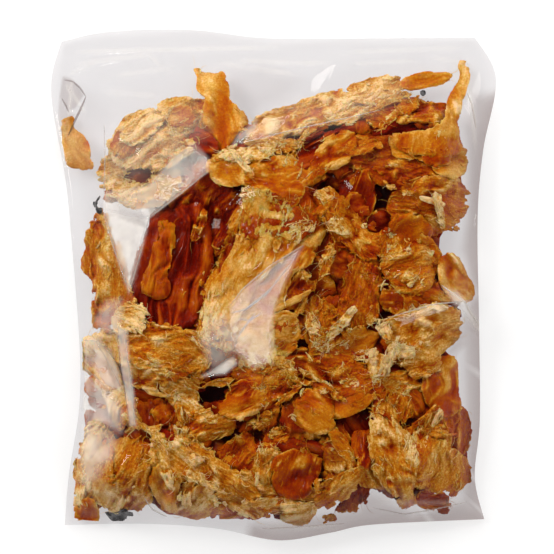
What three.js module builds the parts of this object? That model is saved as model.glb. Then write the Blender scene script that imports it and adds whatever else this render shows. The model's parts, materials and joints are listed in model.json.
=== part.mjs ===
// A clear sealed film bag packed full of dried stockfish pieces, lying on its back with the full side up.
// X runs across the bag, Y towards its sealed mouth and Z up. The origin is under the middle of its box.
import * as THREE from "three";

// Driving dimensions, in millimetres
const WELD_THICKNESS = 1.4;
const MOUTH_WELD = 6;
const SIDE_WELD = 3;
const CORNER_LIFT = 1.6;
const SIDE_LIFT = 9;
const FOOT_LIFT = 8;
const MOUTH_RIPPLE = 1.4;
const SIDE_SHOULDER = 25;
const FOOT_SHOULDER = 21;
const MOUTH_SHOULDER = 84;
const BED_HEIGHT = 22;
const FLANK_SLOPE = 1;
const CROWN = 1.6;
const RAGGED = 0.1;
const FILM_BLEND = 1.1;

// How finely the film is divided, and how far in from the edge its underside comes down to the ground
const COLUMNS = 62;
const ROWS = 70;
const UNDERSIDE_INSETS = [0.035, 0.085];
const UNDERSIDE_SHARES = [0.3, 0];

// The edges of the filled bag seen from above: the slack mouth is wider than the body that the fish pulls in
const MOUTH_EDGE = [[-106.7, 122], [-84, 126.8], [-41.7, 128], [-5.7, 123.8], [34, 123.6], [101.3, 124]];
const FOOT_EDGE = [[-105, -121], [-66, -119.8], [-29, -121.8], [2, -127.6], [28, -124], [50, -120], [106, -118]];
const LEFT_EDGE = [
  [-105, -121], [-102.6, -95], [-97.2, -62], [-96.8, -30], [-100.7, 22], [-104, 53], [-111.6, 97], [-106.7, 122],
];
const RIGHT_EDGE = [
  [106, -118], [101, -97], [103.2, -68], [102.6, -23], [101.8, 32], [104.8, 67], [111.6, 103], [101.3, 124],
];

// The fish pieces that press against the film: place across and up, length, width, turn in degrees, height
const FISH_PIECES = {
  frayedFilletAtMouth: [-61, 73, 58, 34, 22, 29],
  flakeInMouthCorner: [-97, 67, 20, 15, -60, 24],
  upstandingFlap: [-26, 88, 44, 24, 110, 33],
  paleStripAtMouth: [21, 81, 90, 17, 22, 31],
  leafAtMouth: [77, 101, 28, 9, 6, 30],
  stickAtMouth: [92, 100, 28, 7, 72, 32],
  curledFlap: [-9, 53, 46, 25, -9, 35],
  darkFlap: [25, 66, 34, 22, 35, 29],
  sheetUpperRight: [75, 73, 42, 26, -12, 31],
  fibreMassRight: [69, 49, 54, 38, -15, 32],
  slantStrip: [26, 30, 42, 14, -60, 32],
  centreSheet: [-1, 8, 86, 48, 66, 34],
  redFillet: [-52, 6, 60, 36, 84, 31],
  leftLeaf: [-83, 6, 60, 19, 100, 29],
  chipOnRedFillet: [-40, 31, 16, 9, 70, 33],
  fibreMassCentreRight: [48, 2, 46, 30, 72, 29],
  cragRight: [67, 4, 28, 24, 10, 32],
  lobeAtRightEdge: [91, 3, 25, 17, -55, 30],
  goldenCragRight: [75, -29, 44, 34, 15, 32],
  fringePiece: [39, -14, 22, 12, 25, 31],
  frayedNub: [20, -25, 30, 20, 60, 29],
  brokenFlakeLeft: [-51, -34, 48, 26, -6, 34],
  paleTuftLeft: [-74, -66, 24, 17, 65, 31],
  leftEdgePiece: [-85, -47, 40, 20, 82, 25],
  flakeBelowSheet: [7, -43, 34, 17, -12, 32],
  amberPieceMiddle: [-9, -55, 34, 19, 18, 32],
  brownFibresMiddle: [-2, -64, 34, 16, 20, 28],
  fibresLeftOfHole: [-32, -69, 30, 14, -14, 31],
  roundLobe: [23, -64, 28, 24, -30, 34],
  orangePiece: [36, -59, 28, 13, 12, 31],
  slabRight: [83, -49, 30, 22, 80, 29],
  redPieceRight: [70, -58, 22, 15, -60, 27],
  filletFootLeft: [-79, -98, 46, 42, 60, 32],
  longStrip: [-31, -96, 74, 20, -26, 32],
  amberFlapFoot: [-55, -101, 24, 15, 105, 31],
  coiledPiece: [-39, -107, 23, 18, 40, 31],
  yellowNub: [-3, -91, 18, 12, 80, 32],
  hollowPiece: [15, -91, 30, 26, 75, 27],
  amberStick: [33, -80, 26, 13, -58, 31],
  fibreNubFoot: [33, -101, 28, 19, 50, 30],
  pointedPiece: [57, -94, 52, 28, -60, 33],
  fibreMassFoot: [84, -94, 42, 30, 70, 29],
};

const edgeCurve = (points) => new THREE.SplineCurve(points.map(([x, y]) => new THREE.Vector2(x, y)));

const mouthEdge = edgeCurve(MOUTH_EDGE);
const footEdge = edgeCurve(FOOT_EDGE);
const leftEdge = edgeCurve(LEFT_EDGE);
const rightEdge = edgeCurve(RIGHT_EDGE);

// A point of the film from its share across, 0 to 1 from left to right, and its share up from foot to mouth
function filmPoint(across, up) {
  const between = new THREE.Vector2()
    .addScaledVector(footEdge.getPointAt(across), 1 - up)
    .addScaledVector(mouthEdge.getPointAt(across), up)
    .addScaledVector(leftEdge.getPointAt(up), 1 - across)
    .addScaledVector(rightEdge.getPointAt(up), across);
  const ofCorners = new THREE.Vector2()
    .addScaledVector(footEdge.getPointAt(0), (1 - across) * (1 - up))
    .addScaledVector(footEdge.getPointAt(1), across * (1 - up))
    .addScaledVector(mouthEdge.getPointAt(0), (1 - across) * up)
    .addScaledVector(mouthEdge.getPointAt(1), across * up);
  return between.sub(ofCorners);
}

// Height of the weld line round the bag: it hangs clear along the sides and foot and lies low at the corners
function seamHeight(across, up) {
  const sides = SIDE_LIFT * Math.sin(Math.PI * up) * (2 * across - 1) ** 4;
  const foot = FOOT_LIFT * Math.sin(Math.PI * across) * (1 - up) ** 4;
  const mouth = MOUTH_RIPPLE * Math.sin(3 * Math.PI * across) ** 2 * up ** 4;
  return CORNER_LIFT + sides + foot + mouth;
}

// How far the film has risen from a weld, 0 on the weld itself and 1 past its rounded shoulder
function shoulder(distance, weld, reach) {
  const share = THREE.MathUtils.clamp((distance - weld) / reach, 0, 1);
  return Math.sin((share * Math.PI) / 2);
}

function fillShare(point, across, up) {
  return (
    shoulder(point.distanceTo(leftEdge.getPointAt(up)), SIDE_WELD, SIDE_SHOULDER) *
    shoulder(point.distanceTo(rightEdge.getPointAt(up)), SIDE_WELD, SIDE_SHOULDER) *
    shoulder(point.distanceTo(footEdge.getPointAt(across)), SIDE_WELD, FOOT_SHOULDER) *
    shoulder(point.distanceTo(mouthEdge.getPointAt(across)), MOUTH_WELD, MOUTH_SHOULDER)
  );
}

// Height of one piece at a point: a crowned plateau with a ragged outline, and sloping flanks outside it
function pieceHeight([x, y, length, width, turn, height], point) {
  const local = point.clone().sub(new THREE.Vector2(x, y));
  local.rotateAround(new THREE.Vector2(), -THREE.MathUtils.degToRad(turn));
  const bearing = local.angle();
  const outline = 1 + RAGGED * (Math.sin(3 * bearing + x) + Math.sin(5 * bearing + y));
  const reach = Math.hypot((2 * local.x) / length, (2 * local.y) / width) / outline;
  const flank = Math.max(0, reach - 1) * (width / 2) * FLANK_SLOPE;
  return height + CROWN * (1 - Math.min(reach, 1) ** 2) - flank;
}

// The film rests on the highest pieces and rounds the steps between them, which a soft maximum gives
function lumpHeight(point) {
  const heights = Object.values(FISH_PIECES).map((piece) => pieceHeight(piece, point));
  const sum = heights.reduce(
    (total, height) => total + Math.exp((height - BED_HEIGHT) / FILM_BLEND),
    1,
  );
  return BED_HEIGHT + FILM_BLEND * Math.log(sum);
}

function topVertex(across, up) {
  const point = filmPoint(across, up);
  const seam = seamHeight(across, up) + WELD_THICKNESS / 2;
  const rise = fillShare(point, across, up) * (lumpHeight(point) - seam);
  return [point.x, point.y, seam + rise];
}

// The shares across and up of one loop of film at an even inset from the edge, anticlockwise from the foot
function loopShares(inset) {
  const span = 1 - 2 * inset;
  const loop = [];
  for (let i = 0; i < COLUMNS; i += 1) loop.push([i / COLUMNS, 0]);
  for (let j = 0; j < ROWS; j += 1) loop.push([1, j / ROWS]);
  for (let i = COLUMNS; i > 0; i -= 1) loop.push([i / COLUMNS, 1]);
  for (let j = ROWS; j > 0; j -= 1) loop.push([0, j / ROWS]);
  return loop.map(([across, up]) => [inset + across * span, inset + up * span]);
}

function undersideLoop(inset, share) {
  return loopShares(inset).map(([across, up]) => {
    const point = filmPoint(across, up);
    return [point.x, point.y, share * (seamHeight(across, up) - WELD_THICKNESS / 2)];
  });
}

// The wall of triangles between two loops of the same count, the outer one first
function joinLoops(outerStart, innerStart, count) {
  const triangles = [];
  for (let i = 0; i < count; i += 1) {
    const next = (i + 1) % count;
    triangles.push(outerStart + i, innerStart + i, innerStart + next);
    triangles.push(outerStart + i, innerStart + next, outerStart + next);
  }
  return triangles;
}

function filledBag() {
  const vertices = [];
  const triangles = [];
  const rowLength = COLUMNS + 1;
  for (let j = 0; j <= ROWS; j += 1) {
    for (let i = 0; i <= COLUMNS; i += 1) vertices.push(topVertex(i / COLUMNS, j / ROWS));
  }
  for (let j = 0; j < ROWS; j += 1) {
    for (let i = 0; i < COLUMNS; i += 1) {
      const corner = j * rowLength + i;
      const above = corner + rowLength;
      triangles.push(corner, corner + 1, above + 1);
      triangles.push(corner, above + 1, above);
    }
  }

  // Loops of the rim and the underside, each joined to the one outside it, down to a flat base
  const rim = loopShares(0).map(([across, up]) => topVertex(across, up));
  const loops = [rim, undersideLoop(0, 1)];
  UNDERSIDE_INSETS.forEach((inset, i) => loops.push(undersideLoop(inset, UNDERSIDE_SHARES[i])));
  const starts = [];
  for (const loop of loops) {
    starts.push(vertices.length);
    vertices.push(...loop);
  }
  for (let i = 1; i < loops.length; i += 1) {
    triangles.push(...joinLoops(starts[i - 1], starts[i], rim.length));
  }
  const base = loops.at(-1).map(([x, y]) => new THREE.Vector2(x, y));
  for (const [a, b, c] of THREE.ShapeUtils.triangulateShape(base, [])) {
    triangles.push(starts.at(-1) + a, starts.at(-1) + c, starts.at(-1) + b);
  }

  const geometry = new THREE.BufferGeometry();
  geometry.setAttribute("position", new THREE.Float32BufferAttribute(vertices.flat(), 3));
  geometry.setIndex(triangles);
  return geometry;
}

// Sets the middle of the box over the origin and its lowest face on the ground
function setOnGround(geometry) {
  geometry.computeBoundingBox();
  const { min, max } = geometry.boundingBox;
  geometry.translate(-(min.x + max.x) / 2, -(min.y + max.y) / 2, -min.z);
  return geometry;
}

const fishInFilm = new THREE.MeshStandardMaterial({ color: 0xb98a48, roughness: 0.3, metalness: 0 });

const bag = new THREE.Mesh(setOnGround(filledBag()), fishInFilm);
bag.name = "bag";

const group = new THREE.Group();
group.add(bag);

export default group;
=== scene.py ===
import json
import math

import bmesh
import bpy
import numpy as np
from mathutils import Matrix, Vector
from mathutils.bvhtree import BVHTree

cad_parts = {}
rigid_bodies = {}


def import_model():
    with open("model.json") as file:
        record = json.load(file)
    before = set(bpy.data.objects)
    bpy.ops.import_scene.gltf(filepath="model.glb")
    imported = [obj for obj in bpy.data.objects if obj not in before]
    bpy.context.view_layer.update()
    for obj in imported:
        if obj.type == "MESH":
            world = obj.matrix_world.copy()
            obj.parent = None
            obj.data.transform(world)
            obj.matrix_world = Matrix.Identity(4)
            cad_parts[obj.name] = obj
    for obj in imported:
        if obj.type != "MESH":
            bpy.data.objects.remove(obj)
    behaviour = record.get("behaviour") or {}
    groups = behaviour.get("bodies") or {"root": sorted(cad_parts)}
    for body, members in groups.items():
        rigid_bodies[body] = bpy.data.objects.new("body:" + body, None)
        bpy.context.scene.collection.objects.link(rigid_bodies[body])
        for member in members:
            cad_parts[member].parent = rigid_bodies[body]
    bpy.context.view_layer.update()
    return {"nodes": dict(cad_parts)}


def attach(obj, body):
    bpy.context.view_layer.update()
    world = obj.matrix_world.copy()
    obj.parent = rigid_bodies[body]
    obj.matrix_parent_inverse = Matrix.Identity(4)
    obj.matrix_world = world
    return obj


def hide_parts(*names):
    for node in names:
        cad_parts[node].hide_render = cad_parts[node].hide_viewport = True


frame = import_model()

scene = bpy.context.scene

# Camera. It looks straight down on the lying bag from a metre up, with the mouth of the bag at the top of
# the picture. One photo pixel is half a millimetre on the level of the bag's seams.
MM = 0.001
PHOTO_PIXELS = 554
PIXEL = 0.5 * MM
SEAM_LEVEL = 8 * MM
CAMERA_RANGE = 1.0
PHOTO_MIDDLE = np.array((1.75, 3.5)) * MM
SENSOR = 36.0

camera_data = bpy.data.cameras.new("camera")
camera_data.sensor_width = SENSOR
camera_data.lens = SENSOR * CAMERA_RANGE / (PHOTO_PIXELS * PIXEL)
camera = bpy.data.objects.new("camera", camera_data)
camera.location = (*PHOTO_MIDDLE, SEAM_LEVEL + CAMERA_RANGE)
scene.collection.objects.link(camera)
scene.camera = camera
scene.view_settings.view_transform = "Standard"

# Studio. A white light table in a pale room with a dark ceiling, which keeps the film clear. Soft windows
# low on three sides light the bag, and a small one, high at the upper left, is what flat facets of the
# film mirror.
FLOOR_SIZE = 4.0
FLOOR_DROP = 0.8 * MM
WHITE_TABLE = {
    "Base Color": (0.45, 0.45, 0.452, 1),
    "Roughness": 0.9,
    "Specular IOR Level": 0.0,
    "Emission Color": (1, 1, 1, 1),
    "Emission Strength": 0.6,
}
ROOM_COLOUR = (1.0, 0.99, 0.985, 1)
ROOM_FADE = {"From Min": 0.4, "From Max": 0.9, "To Min": 0.26, "To Max": 0.05}
HIGH_WINDOW = (-0.30, 0.28, 1.2)
WARM = (1.0, 0.985, 0.965)
PALE = (1.0, 0.955, 0.89)
# Each softbox: place, size, radiance, colour, whether glossy things mirror it, whether it lights the rest.
SOFTBOXES = {
    "window_left": ((-0.8, 0.55, 0.8), (0.6, 0.6), 11.5, WARM, False, True),
    "window_mouth": ((0.25, 1.05, 0.75), (1.0, 0.7), 4.6, WARM, False, True),
    "fill_right": ((0.95, -0.5, 0.75), (0.8, 0.7), 3.6, WARM, False, True),
    "high_window": (HIGH_WINDOW, (0.22, 0.22), 16.0, PALE, True, False),
}


def softbox(name, place, size, radiance, colour, mirrored, lights):
    """A rectangle of even light that faces the middle of the bag; power follows from its radiance."""
    data = bpy.data.lights.new(name, "AREA")
    data.shape = "RECTANGLE"
    data.size, data.size_y = size
    data.energy = radiance * math.pi * size[0] * size[1]
    data.color = colour
    light = bpy.data.objects.new(name, data)
    light.visible_glossy = mirrored
    light.visible_diffuse = lights
    light.location = place
    light.rotation_mode = "QUATERNION"
    light.rotation_quaternion = Vector(place).to_track_quat("Z", "Y")
    scene.collection.objects.link(light)


def set_sockets(node, settings):
    """Gives sockets of a shader node their values by name."""
    for key, value in settings.items():
        node.inputs[key].default_value = value


for name, settings in SOFTBOXES.items():
    softbox(name, *settings)

world = bpy.data.worlds.new("room")
world.use_nodes = True
room_nodes, room_links = world.node_tree.nodes, world.node_tree.links
room_nodes["Background"].inputs["Color"].default_value = ROOM_COLOUR
way = room_nodes.new("ShaderNodeTexCoord")
height = room_nodes.new("ShaderNodeSeparateXYZ")
room_links.new(way.outputs["Generated"], height.inputs["Vector"])
strength = room_nodes.new("ShaderNodeMapRange")
set_sockets(strength, ROOM_FADE)
room_links.new(height.outputs["Z"], strength.inputs["Value"])
room_links.new(strength.outputs["Result"], room_nodes["Background"].inputs["Strength"])
scene.world = world

reach = FLOOR_SIZE / 2
floor_mesh = bpy.data.meshes.new("floor")
floor_mesh.from_pydata(
    [(x, y, -FLOOR_DROP) for x, y in ((-reach, -reach), (reach, -reach), (reach, reach), (-reach, reach))],
    [],
    [(0, 1, 2, 3)],
)
floor = bpy.data.objects.new("floor", floor_mesh)
scene.collection.objects.link(floor)
floor_paint = bpy.data.materials.new("white_table")
floor_paint.use_nodes = True
set_sockets(floor_paint.node_tree.nodes["Principled BSDF"], WHITE_TABLE)
floor_mesh.materials.append(floor_paint)

# Packed bed. Under the pieces that show, the bag is packed with more dried flesh, nearly black in the gaps.
# The solid bag gives the room: a map of its upper film and of its lower film, a millimetre to a cell.
CELL = 1 * MM
MAP_LOW = (-122 * MM, -138 * MM)
MAP_SHAPE = (277, 245)
RAY_HEIGHT = 0.2
SLOPE_BLUR = 9
BED_DEPTH = 18 * MM
BED_STEP = 3
BED_LEAST_ROOM = 9 * MM
BED_EDGE_BLUR = 2
BED_EDGE_SHARE = 0.7
BED_INSET = 5
BED_LUMP = 4 * MM
BED_LUMP_SIZE = 16 * MM
BED_LIFT = 3 * MM
BED_LEAST_THICK = 1 * MM
BED_TONE = 0.74
BED_PATCH_TONE = 0.3
BED_PATCH_SIZE = 9 * MM
PHOTO_ORIGIN = (273.5, 284)
MASS_LEVEL = 20 * MM
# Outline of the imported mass, without the pieces that stand out of it, in photo pixels as x and y pairs.
FISH_MASS = (
    104, 152, 118, 132, 150, 114, 200, 101, 240, 121, 290, 108, 345, 92, 400, 83, 450, 100, 459, 125,
    466, 160, 465, 212, 440, 232, 444, 256, 468, 270, 473, 293, 462, 308, 463, 333, 444, 352, 459, 368,
    462, 430, 468, 468, 456, 494, 424, 500, 404, 504, 380, 490, 360, 486, 356, 508, 318, 514, 262, 518,
    180, 518, 150, 509, 100, 510, 82, 512, 73, 488, 83, 440, 83, 350, 100, 336, 131, 302, 150, 224,
    104, 206, 101, 180,
)
# Colours of dried flesh from the palest, torn and dry, to the deepest, thick and half clear.
FLESH_TONES = (
    (0.00, (0.95, 0.66, 0.32)),
    (0.15, (0.76, 0.42, 0.085)),
    (0.32, (0.60, 0.225, 0.006)),
    (0.48, (0.50, 0.105, 0.001)),
    (0.65, (0.38, 0.045, 0.0005)),
    (0.82, (0.28, 0.014, 0.0003)),
    (1.00, (0.14, 0.003, 0.0003)),
)
FLESH_BODY = {
    "Specular IOR Level": 0.06,
    "Coat Roughness": 0.16,
    "Subsurface Radius": (1.0, 0.42, 0.12),
    "Subsurface Scale": 0.8 * MM,
}
FIBRE_SCALE = (3.5, 22.0, 1.0)
FIBRE_NOISE = {"Scale": 1.0, "Detail": 4.0, "Distortion": 1.0}
MOTTLE_NOISE = {"Scale": 950.0, "Detail": 6.0, "Roughness": 0.6}
SHINE_RANGE = {"From Min": 0.35, "From Max": 0.65}
GLINT_RANGE = {"From Min": 0.5, "From Max": 0.62}
GRAIN_HEIGHT = 0.8 * MM
FIBRE_LAY_UNIT = 20
SHEET_MARGIN = 0.01
LATTICE_SIDE = 256
# Lumps of three sizes: share, fineness, and a shift each way that keeps them from growing on one centre.
LUMPS = ((0.55, 1, 0, 0), (0.3, 2.1, 17, 5), (0.15, 4.3, 41, 23))

lattice = np.random.default_rng(11).random((LATTICE_SIDE, LATTICE_SIDE))


def lot(first, second):
    """An even draw from 0 to 1 for each pair of whole numbers."""
    return lattice[np.mod(first, LATTICE_SIDE), np.mod(second, LATTICE_SIDE)]


def eased(share):
    """Smooth step from 0 to 1."""
    share = np.clip(share, 0, 1)
    return share * share * (3 - 2 * share)


def cloud(x, y):
    """Smooth noise from 0 to 1 with one lump per unit of x and y."""
    left, low = np.floor(x).astype(int), np.floor(y).astype(int)
    u, v = eased(x - left), eased(y - low)
    near = lot(low, left) * (1 - u) + lot(low, left + 1) * u
    far = lot(low + 1, left) * (1 - u) + lot(low + 1, left + 1) * u
    return near * (1 - v) + far * v


def billow(x, y):
    """Cloud with finer lumps on its lumps."""
    return sum(share * cloud(fine * x + right, fine * y + up) for share, fine, right, up in LUMPS)


def blurred(field, spread):
    """The map under a round blur of that many cells."""
    reach = np.arange(-3 * spread, 3 * spread + 1)
    kernel = np.exp(-0.5 * (reach / spread) ** 2)
    kernel /= kernel.sum()
    for axis in (0, 1):
        field = np.apply_along_axis(np.convolve, axis, field, kernel, "same")
    return field


def sampled(field, x, y):
    """The map's value at points of the bag's frame."""
    column = np.clip((x - MAP_LOW[0]) / CELL, 0, MAP_SHAPE[1] - 1.001)
    row = np.clip((y - MAP_LOW[1]) / CELL, 0, MAP_SHAPE[0] - 1.001)
    i, j = row.astype(int), column.astype(int)
    u, v = column - j, row - i
    near = field[i, j] * (1 - u) + field[i, j + 1] * u
    far = field[i + 1, j] * (1 - u) + field[i + 1, j + 1] * u
    return near * (1 - v) + far * v


def film_maps(bag):
    """Heights of the upper and the lower film over the map, both 0 outside the bag."""
    points = [v.co for v in bag.data.vertices]
    tree = BVHTree.FromPolygons(points, [p.vertices for p in bag.data.polygons])
    upper, lower = np.zeros(MAP_SHAPE), np.zeros(MAP_SHAPE)
    for i in range(MAP_SHAPE[0]):
        for j in range(MAP_SHAPE[1]):
            x, y = MAP_LOW[0] + j * CELL, MAP_LOW[1] + i * CELL
            hit = tree.ray_cast(Vector((x, y, RAY_HEIGHT)), Vector((0, 0, -1)))[0]
            if hit:
                upper[i, j] = hit.z
                lower[i, j] = tree.ray_cast(Vector((x, y, -RAY_HEIGHT)), Vector((0, 0, 1)))[0].z
    return upper, lower


upper_film, lower_film = film_maps(frame["nodes"]["bag"])
room = upper_film - lower_film
slope = blurred(upper_film, SLOPE_BLUR)


def on_bag(pairs, level):
    """Photo pixels as millimetres on the bag, corrected for how near the camera that level lies."""
    spots = (np.array(pairs, float).reshape(-1, 2) - PHOTO_ORIGIN) * (PIXEL, -PIXEL)
    nearness = 1 - (level - SEAM_LEVEL) / CAMERA_RANGE
    return (PHOTO_MIDDLE + (spots - PHOTO_MIDDLE) * nearness) / MM


def edge_distance(x, y, outline):
    """How far points are inside an outline, less than 0 outside it."""
    nearest = np.full(x.shape, np.inf)
    inside = np.zeros(x.shape, bool)
    for (ax, ay), (bx, by) in zip(outline, np.roll(outline, -1, 0)):
        dx, dy = bx - ax, by - ay
        share = np.clip(((x - ax) * dx + (y - ay) * dy) / (dx * dx + dy * dy + 1e-9), 0, 1)
        nearest = np.minimum(nearest, np.hypot(x - ax - share * dx, y - ay - share * dy))
        crossed = (ay > y) != (by > y)
        inside ^= crossed & (x < ax + (y - ay) * dx / (dy if abs(dy) > 1e-9 else 1e-9))
    return np.where(inside, nearest, -nearest)


fish_mass = on_bag(FISH_MASS, MASS_LEVEL)


def mesh_object(name, points, faces, material, values, maps):
    """A smooth-shaded piece of the object from arrays, with vertex values and corner maps by name."""
    mesh = bpy.data.meshes.new(name)
    mesh.from_pydata(points, [], faces)
    mesh.polygons.foreach_set("use_smooth", np.ones(len(faces), bool))
    for key, value in values.items():
        mesh.attributes.new(key, "FLOAT", "POINT").data.foreach_set("value", value.astype(np.float32))
    for key, corners in maps.items():
        mesh.uv_layers.new(name=key).data.foreach_set("uv", corners.astype(np.float32).ravel())
    mesh.materials.append(material)
    piece = bpy.data.objects.new(name, mesh)
    scene.collection.objects.link(piece)
    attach(piece, "root")
    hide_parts("bag")


def set_tones(ramp, tones):
    """Gives a colour ramp its stops."""
    stops = ramp.color_ramp.elements
    while len(stops) < len(tones):
        stops.new(0.5)
    for stop, (position, colour) in zip(stops, tones):
        stop.position = position
        stop.color = (*colour, 1)


def dried_flesh_group():
    """Shader group of dried flesh: amber by the mesh's depth of tone, its own tone with painted shade and
    light, streaked along its fibres.
    """
    group = bpy.data.node_groups.new("dried_flesh_grain", "ShaderNodeTree")
    for key in ("Streaks", "Mottle", "Gloss", "Rough"):
        group.interface.new_socket(key, in_out="INPUT", socket_type="NodeSocketFloat")
    group.interface.new_socket("Color", in_out="OUTPUT", socket_type="NodeSocketColor")
    for key in ("Roughness", "Height", "Glint"):
        group.interface.new_socket(key, in_out="OUTPUT", socket_type="NodeSocketFloat")
    nodes, links = group.nodes, group.links
    given = nodes.new("NodeGroupInput")
    out = nodes.new("NodeGroupOutput")

    lay = nodes.new("ShaderNodeUVMap")
    lay.uv_map = "fibre_lay"
    stretch = nodes.new("ShaderNodeMapping")
    stretch.inputs["Scale"].default_value = FIBRE_SCALE
    links.new(lay.outputs["UV"], stretch.inputs["Vector"])
    fibre = nodes.new("ShaderNodeTexNoise")
    set_sockets(fibre, FIBRE_NOISE)
    links.new(stretch.outputs["Vector"], fibre.inputs["Vector"])

    place = nodes.new("ShaderNodeTexCoord")
    mottle = nodes.new("ShaderNodeTexNoise")
    set_sockets(mottle, MOTTLE_NOISE)
    links.new(place.outputs["Object"], mottle.inputs["Vector"])

    amber = nodes.new("ShaderNodeAttribute")
    amber.attribute_name = "amber"

    def worked(operation, first, second):
        """The result of a sum on two numbers or sockets."""
        node = nodes.new("ShaderNodeMath")
        node.operation = operation
        for socket, value in zip(node.inputs, (first, second)):
            if isinstance(value, float):
                socket.default_value = value
            else:
                links.new(value, socket)
        return node.outputs[0]

    streak = worked("MULTIPLY", worked("SUBTRACT", fibre.outputs["Fac"], 0.5), given.outputs["Streaks"])
    patch = worked("MULTIPLY", worked("SUBTRACT", mottle.outputs["Fac"], 0.5), given.outputs["Mottle"])
    depth = worked("ADD", worked("ADD", amber.outputs["Fac"], streak), patch)
    ramp = nodes.new("ShaderNodeValToRGB")
    set_tones(ramp, FLESH_TONES)
    links.new(depth, ramp.inputs["Fac"])
    links.new(ramp.outputs["Color"], out.inputs["Color"])

    shine = nodes.new("ShaderNodeMapRange")
    set_sockets(shine, SHINE_RANGE)
    links.new(mottle.outputs["Fac"], shine.inputs["Value"])
    links.new(given.outputs["Gloss"], shine.inputs["To Min"])
    links.new(given.outputs["Rough"], shine.inputs["To Max"])
    links.new(shine.outputs["Result"], out.inputs["Roughness"])
    links.new(worked("ADD", streak, worked("SUBTRACT", mottle.outputs["Fac"], 0.5)), out.inputs["Height"])
    glint = nodes.new("ShaderNodeMapRange")
    set_sockets(glint, GLINT_RANGE)
    links.new(mottle.outputs["Fac"], glint.inputs["Value"])
    links.new(glint.outputs["Result"], out.inputs["Glint"])
    return group


dried_flesh = dried_flesh_group()


def flesh(name, streaks, mottle, gloss, rough, glow, bump):
    """A material of dried fish flesh: glow is how much of its light comes from within."""
    material = bpy.data.materials.new(name)
    material.use_nodes = True
    nodes, links = material.node_tree.nodes, material.node_tree.links
    grain = nodes.new("ShaderNodeGroup")
    grain.node_tree = dried_flesh
    set_sockets(grain, {"Streaks": streaks, "Mottle": mottle, "Gloss": gloss, "Rough": rough})
    body = nodes["Principled BSDF"]
    set_sockets(body, {**FLESH_BODY, "Subsurface Weight": glow})
    links.new(grain.outputs["Color"], body.inputs["Base Color"])
    links.new(grain.outputs["Roughness"], body.inputs["Roughness"])
    links.new(grain.outputs["Glint"], body.inputs["Coat Weight"])
    relief = nodes.new("ShaderNodeBump")
    set_sockets(relief, {"Strength": bump, "Distance": GRAIN_HEIGHT})
    links.new(grain.outputs["Height"], relief.inputs["Height"])
    links.new(relief.outputs["Normal"], body.inputs["Normal"])
    return material


def closed_faces(cells, number):
    """Faces of a closed piece over the kept cells of a grid: top, underside and the wall round its edge."""
    count = number.max() + 1
    corners = [number[:-1, :-1], number[1:, :-1], number[1:, 1:], number[:-1, 1:]]
    top = np.stack([c[cells] for c in corners], -1)
    wide = np.pad(cells, 1)
    beside = (wide[1:-1, :-2], wide[2:, 1:-1], wide[1:-1, 2:], wide[:-2, 1:-1])
    walls = []
    for k, neighbour in enumerate(beside):
        open_side = cells & ~neighbour
        a, b = corners[k][open_side], corners[(k + 1) % 4][open_side]
        walls.append(np.stack([b, a, a + count, b + count], -1))
    return top, top[:, ::-1] + count, np.concatenate(walls)


def kept_corners(cells):
    """Grid points that belong to a kept cell."""
    wide = np.pad(cells, 1)
    return wide[:-1, :-1] | wide[1:, :-1] | wide[:-1, 1:] | wide[1:, 1:]


def whole_cells(inside):
    """Cells of a grid with all four points inside."""
    return inside[:-1, :-1] & inside[1:, :-1] & inside[:-1, 1:] & inside[1:, 1:]


def numbered(kept):
    """A number for each kept point of a grid, in order, and -1 for the rest."""
    number = np.full(kept.shape, -1)
    number[kept] = np.arange(kept.sum())
    return number


def two_sided_sheet(corners, under):
    """Bake places of face corners seen from above, the upper ones on one half of the sheet."""
    flat = corners[:, :2]
    sheet = SHEET_MARGIN + (1 - 2 * SHEET_MARGIN) * (flat - flat.min(0)) / np.ptp(flat, axis=0)
    sheet[:, 0] = 0.5 * sheet[:, 0] + 0.5 * under
    return sheet


def packed_bed():
    """Points and faces of a closed lumpy core between the films, and which faces are its underside."""
    rows = np.arange(0, MAP_SHAPE[0], BED_STEP)
    columns = np.arange(0, MAP_SHAPE[1], BED_STEP)
    j, i = np.meshgrid(columns, rows, indexing="ij")
    x, y = MAP_LOW[0] + j * CELL, MAP_LOW[1] + i * CELL
    inside = blurred((room > BED_LEAST_ROOM).astype(float), BED_EDGE_BLUR)[i, j] > BED_EDGE_SHARE
    inside = inside & (edge_distance(x / MM, y / MM, fish_mass) > BED_INSET)
    cells = whole_cells(inside)
    used = kept_corners(cells)
    lump = BED_LUMP * (billow(x / BED_LUMP_SIZE, y / BED_LUMP_SIZE) - 0.5)
    low = lower_film[i, j] + BED_LIFT
    top = np.maximum(slope[i, j] - BED_DEPTH + lump, low + BED_LEAST_THICK)
    points = np.concatenate([np.stack([x, y, z], -1)[used] for z in (top, low)])
    top, under, wall = closed_faces(cells, numbered(used))
    faces = np.concatenate([top, wall, under])
    return points, faces, np.arange(len(faces)) >= len(top) + len(wall)


points, faces, under = packed_bed()
patches = billow(points[:, 0] / BED_PATCH_SIZE, points[:, 1] / BED_PATCH_SIZE)
tone = BED_TONE + BED_PATCH_TONE * (patches - 0.5)
bed_maps = {
    "OFBake": two_sided_sheet(points[faces.ravel()], np.repeat(under, faces.shape[1])),
    "fibre_lay": (points[:, :2] / (FIBRE_LAY_UNIT * MM))[faces.ravel()],
}
bed_flesh = flesh("packed_dark_flesh", streaks=0.2, mottle=0.3, gloss=0.5, rough=0.8, glow=0.0, bump=0.5)
mesh_object("packed_bed", points, faces, bed_flesh, {"amber": tone}, bed_maps)

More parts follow.
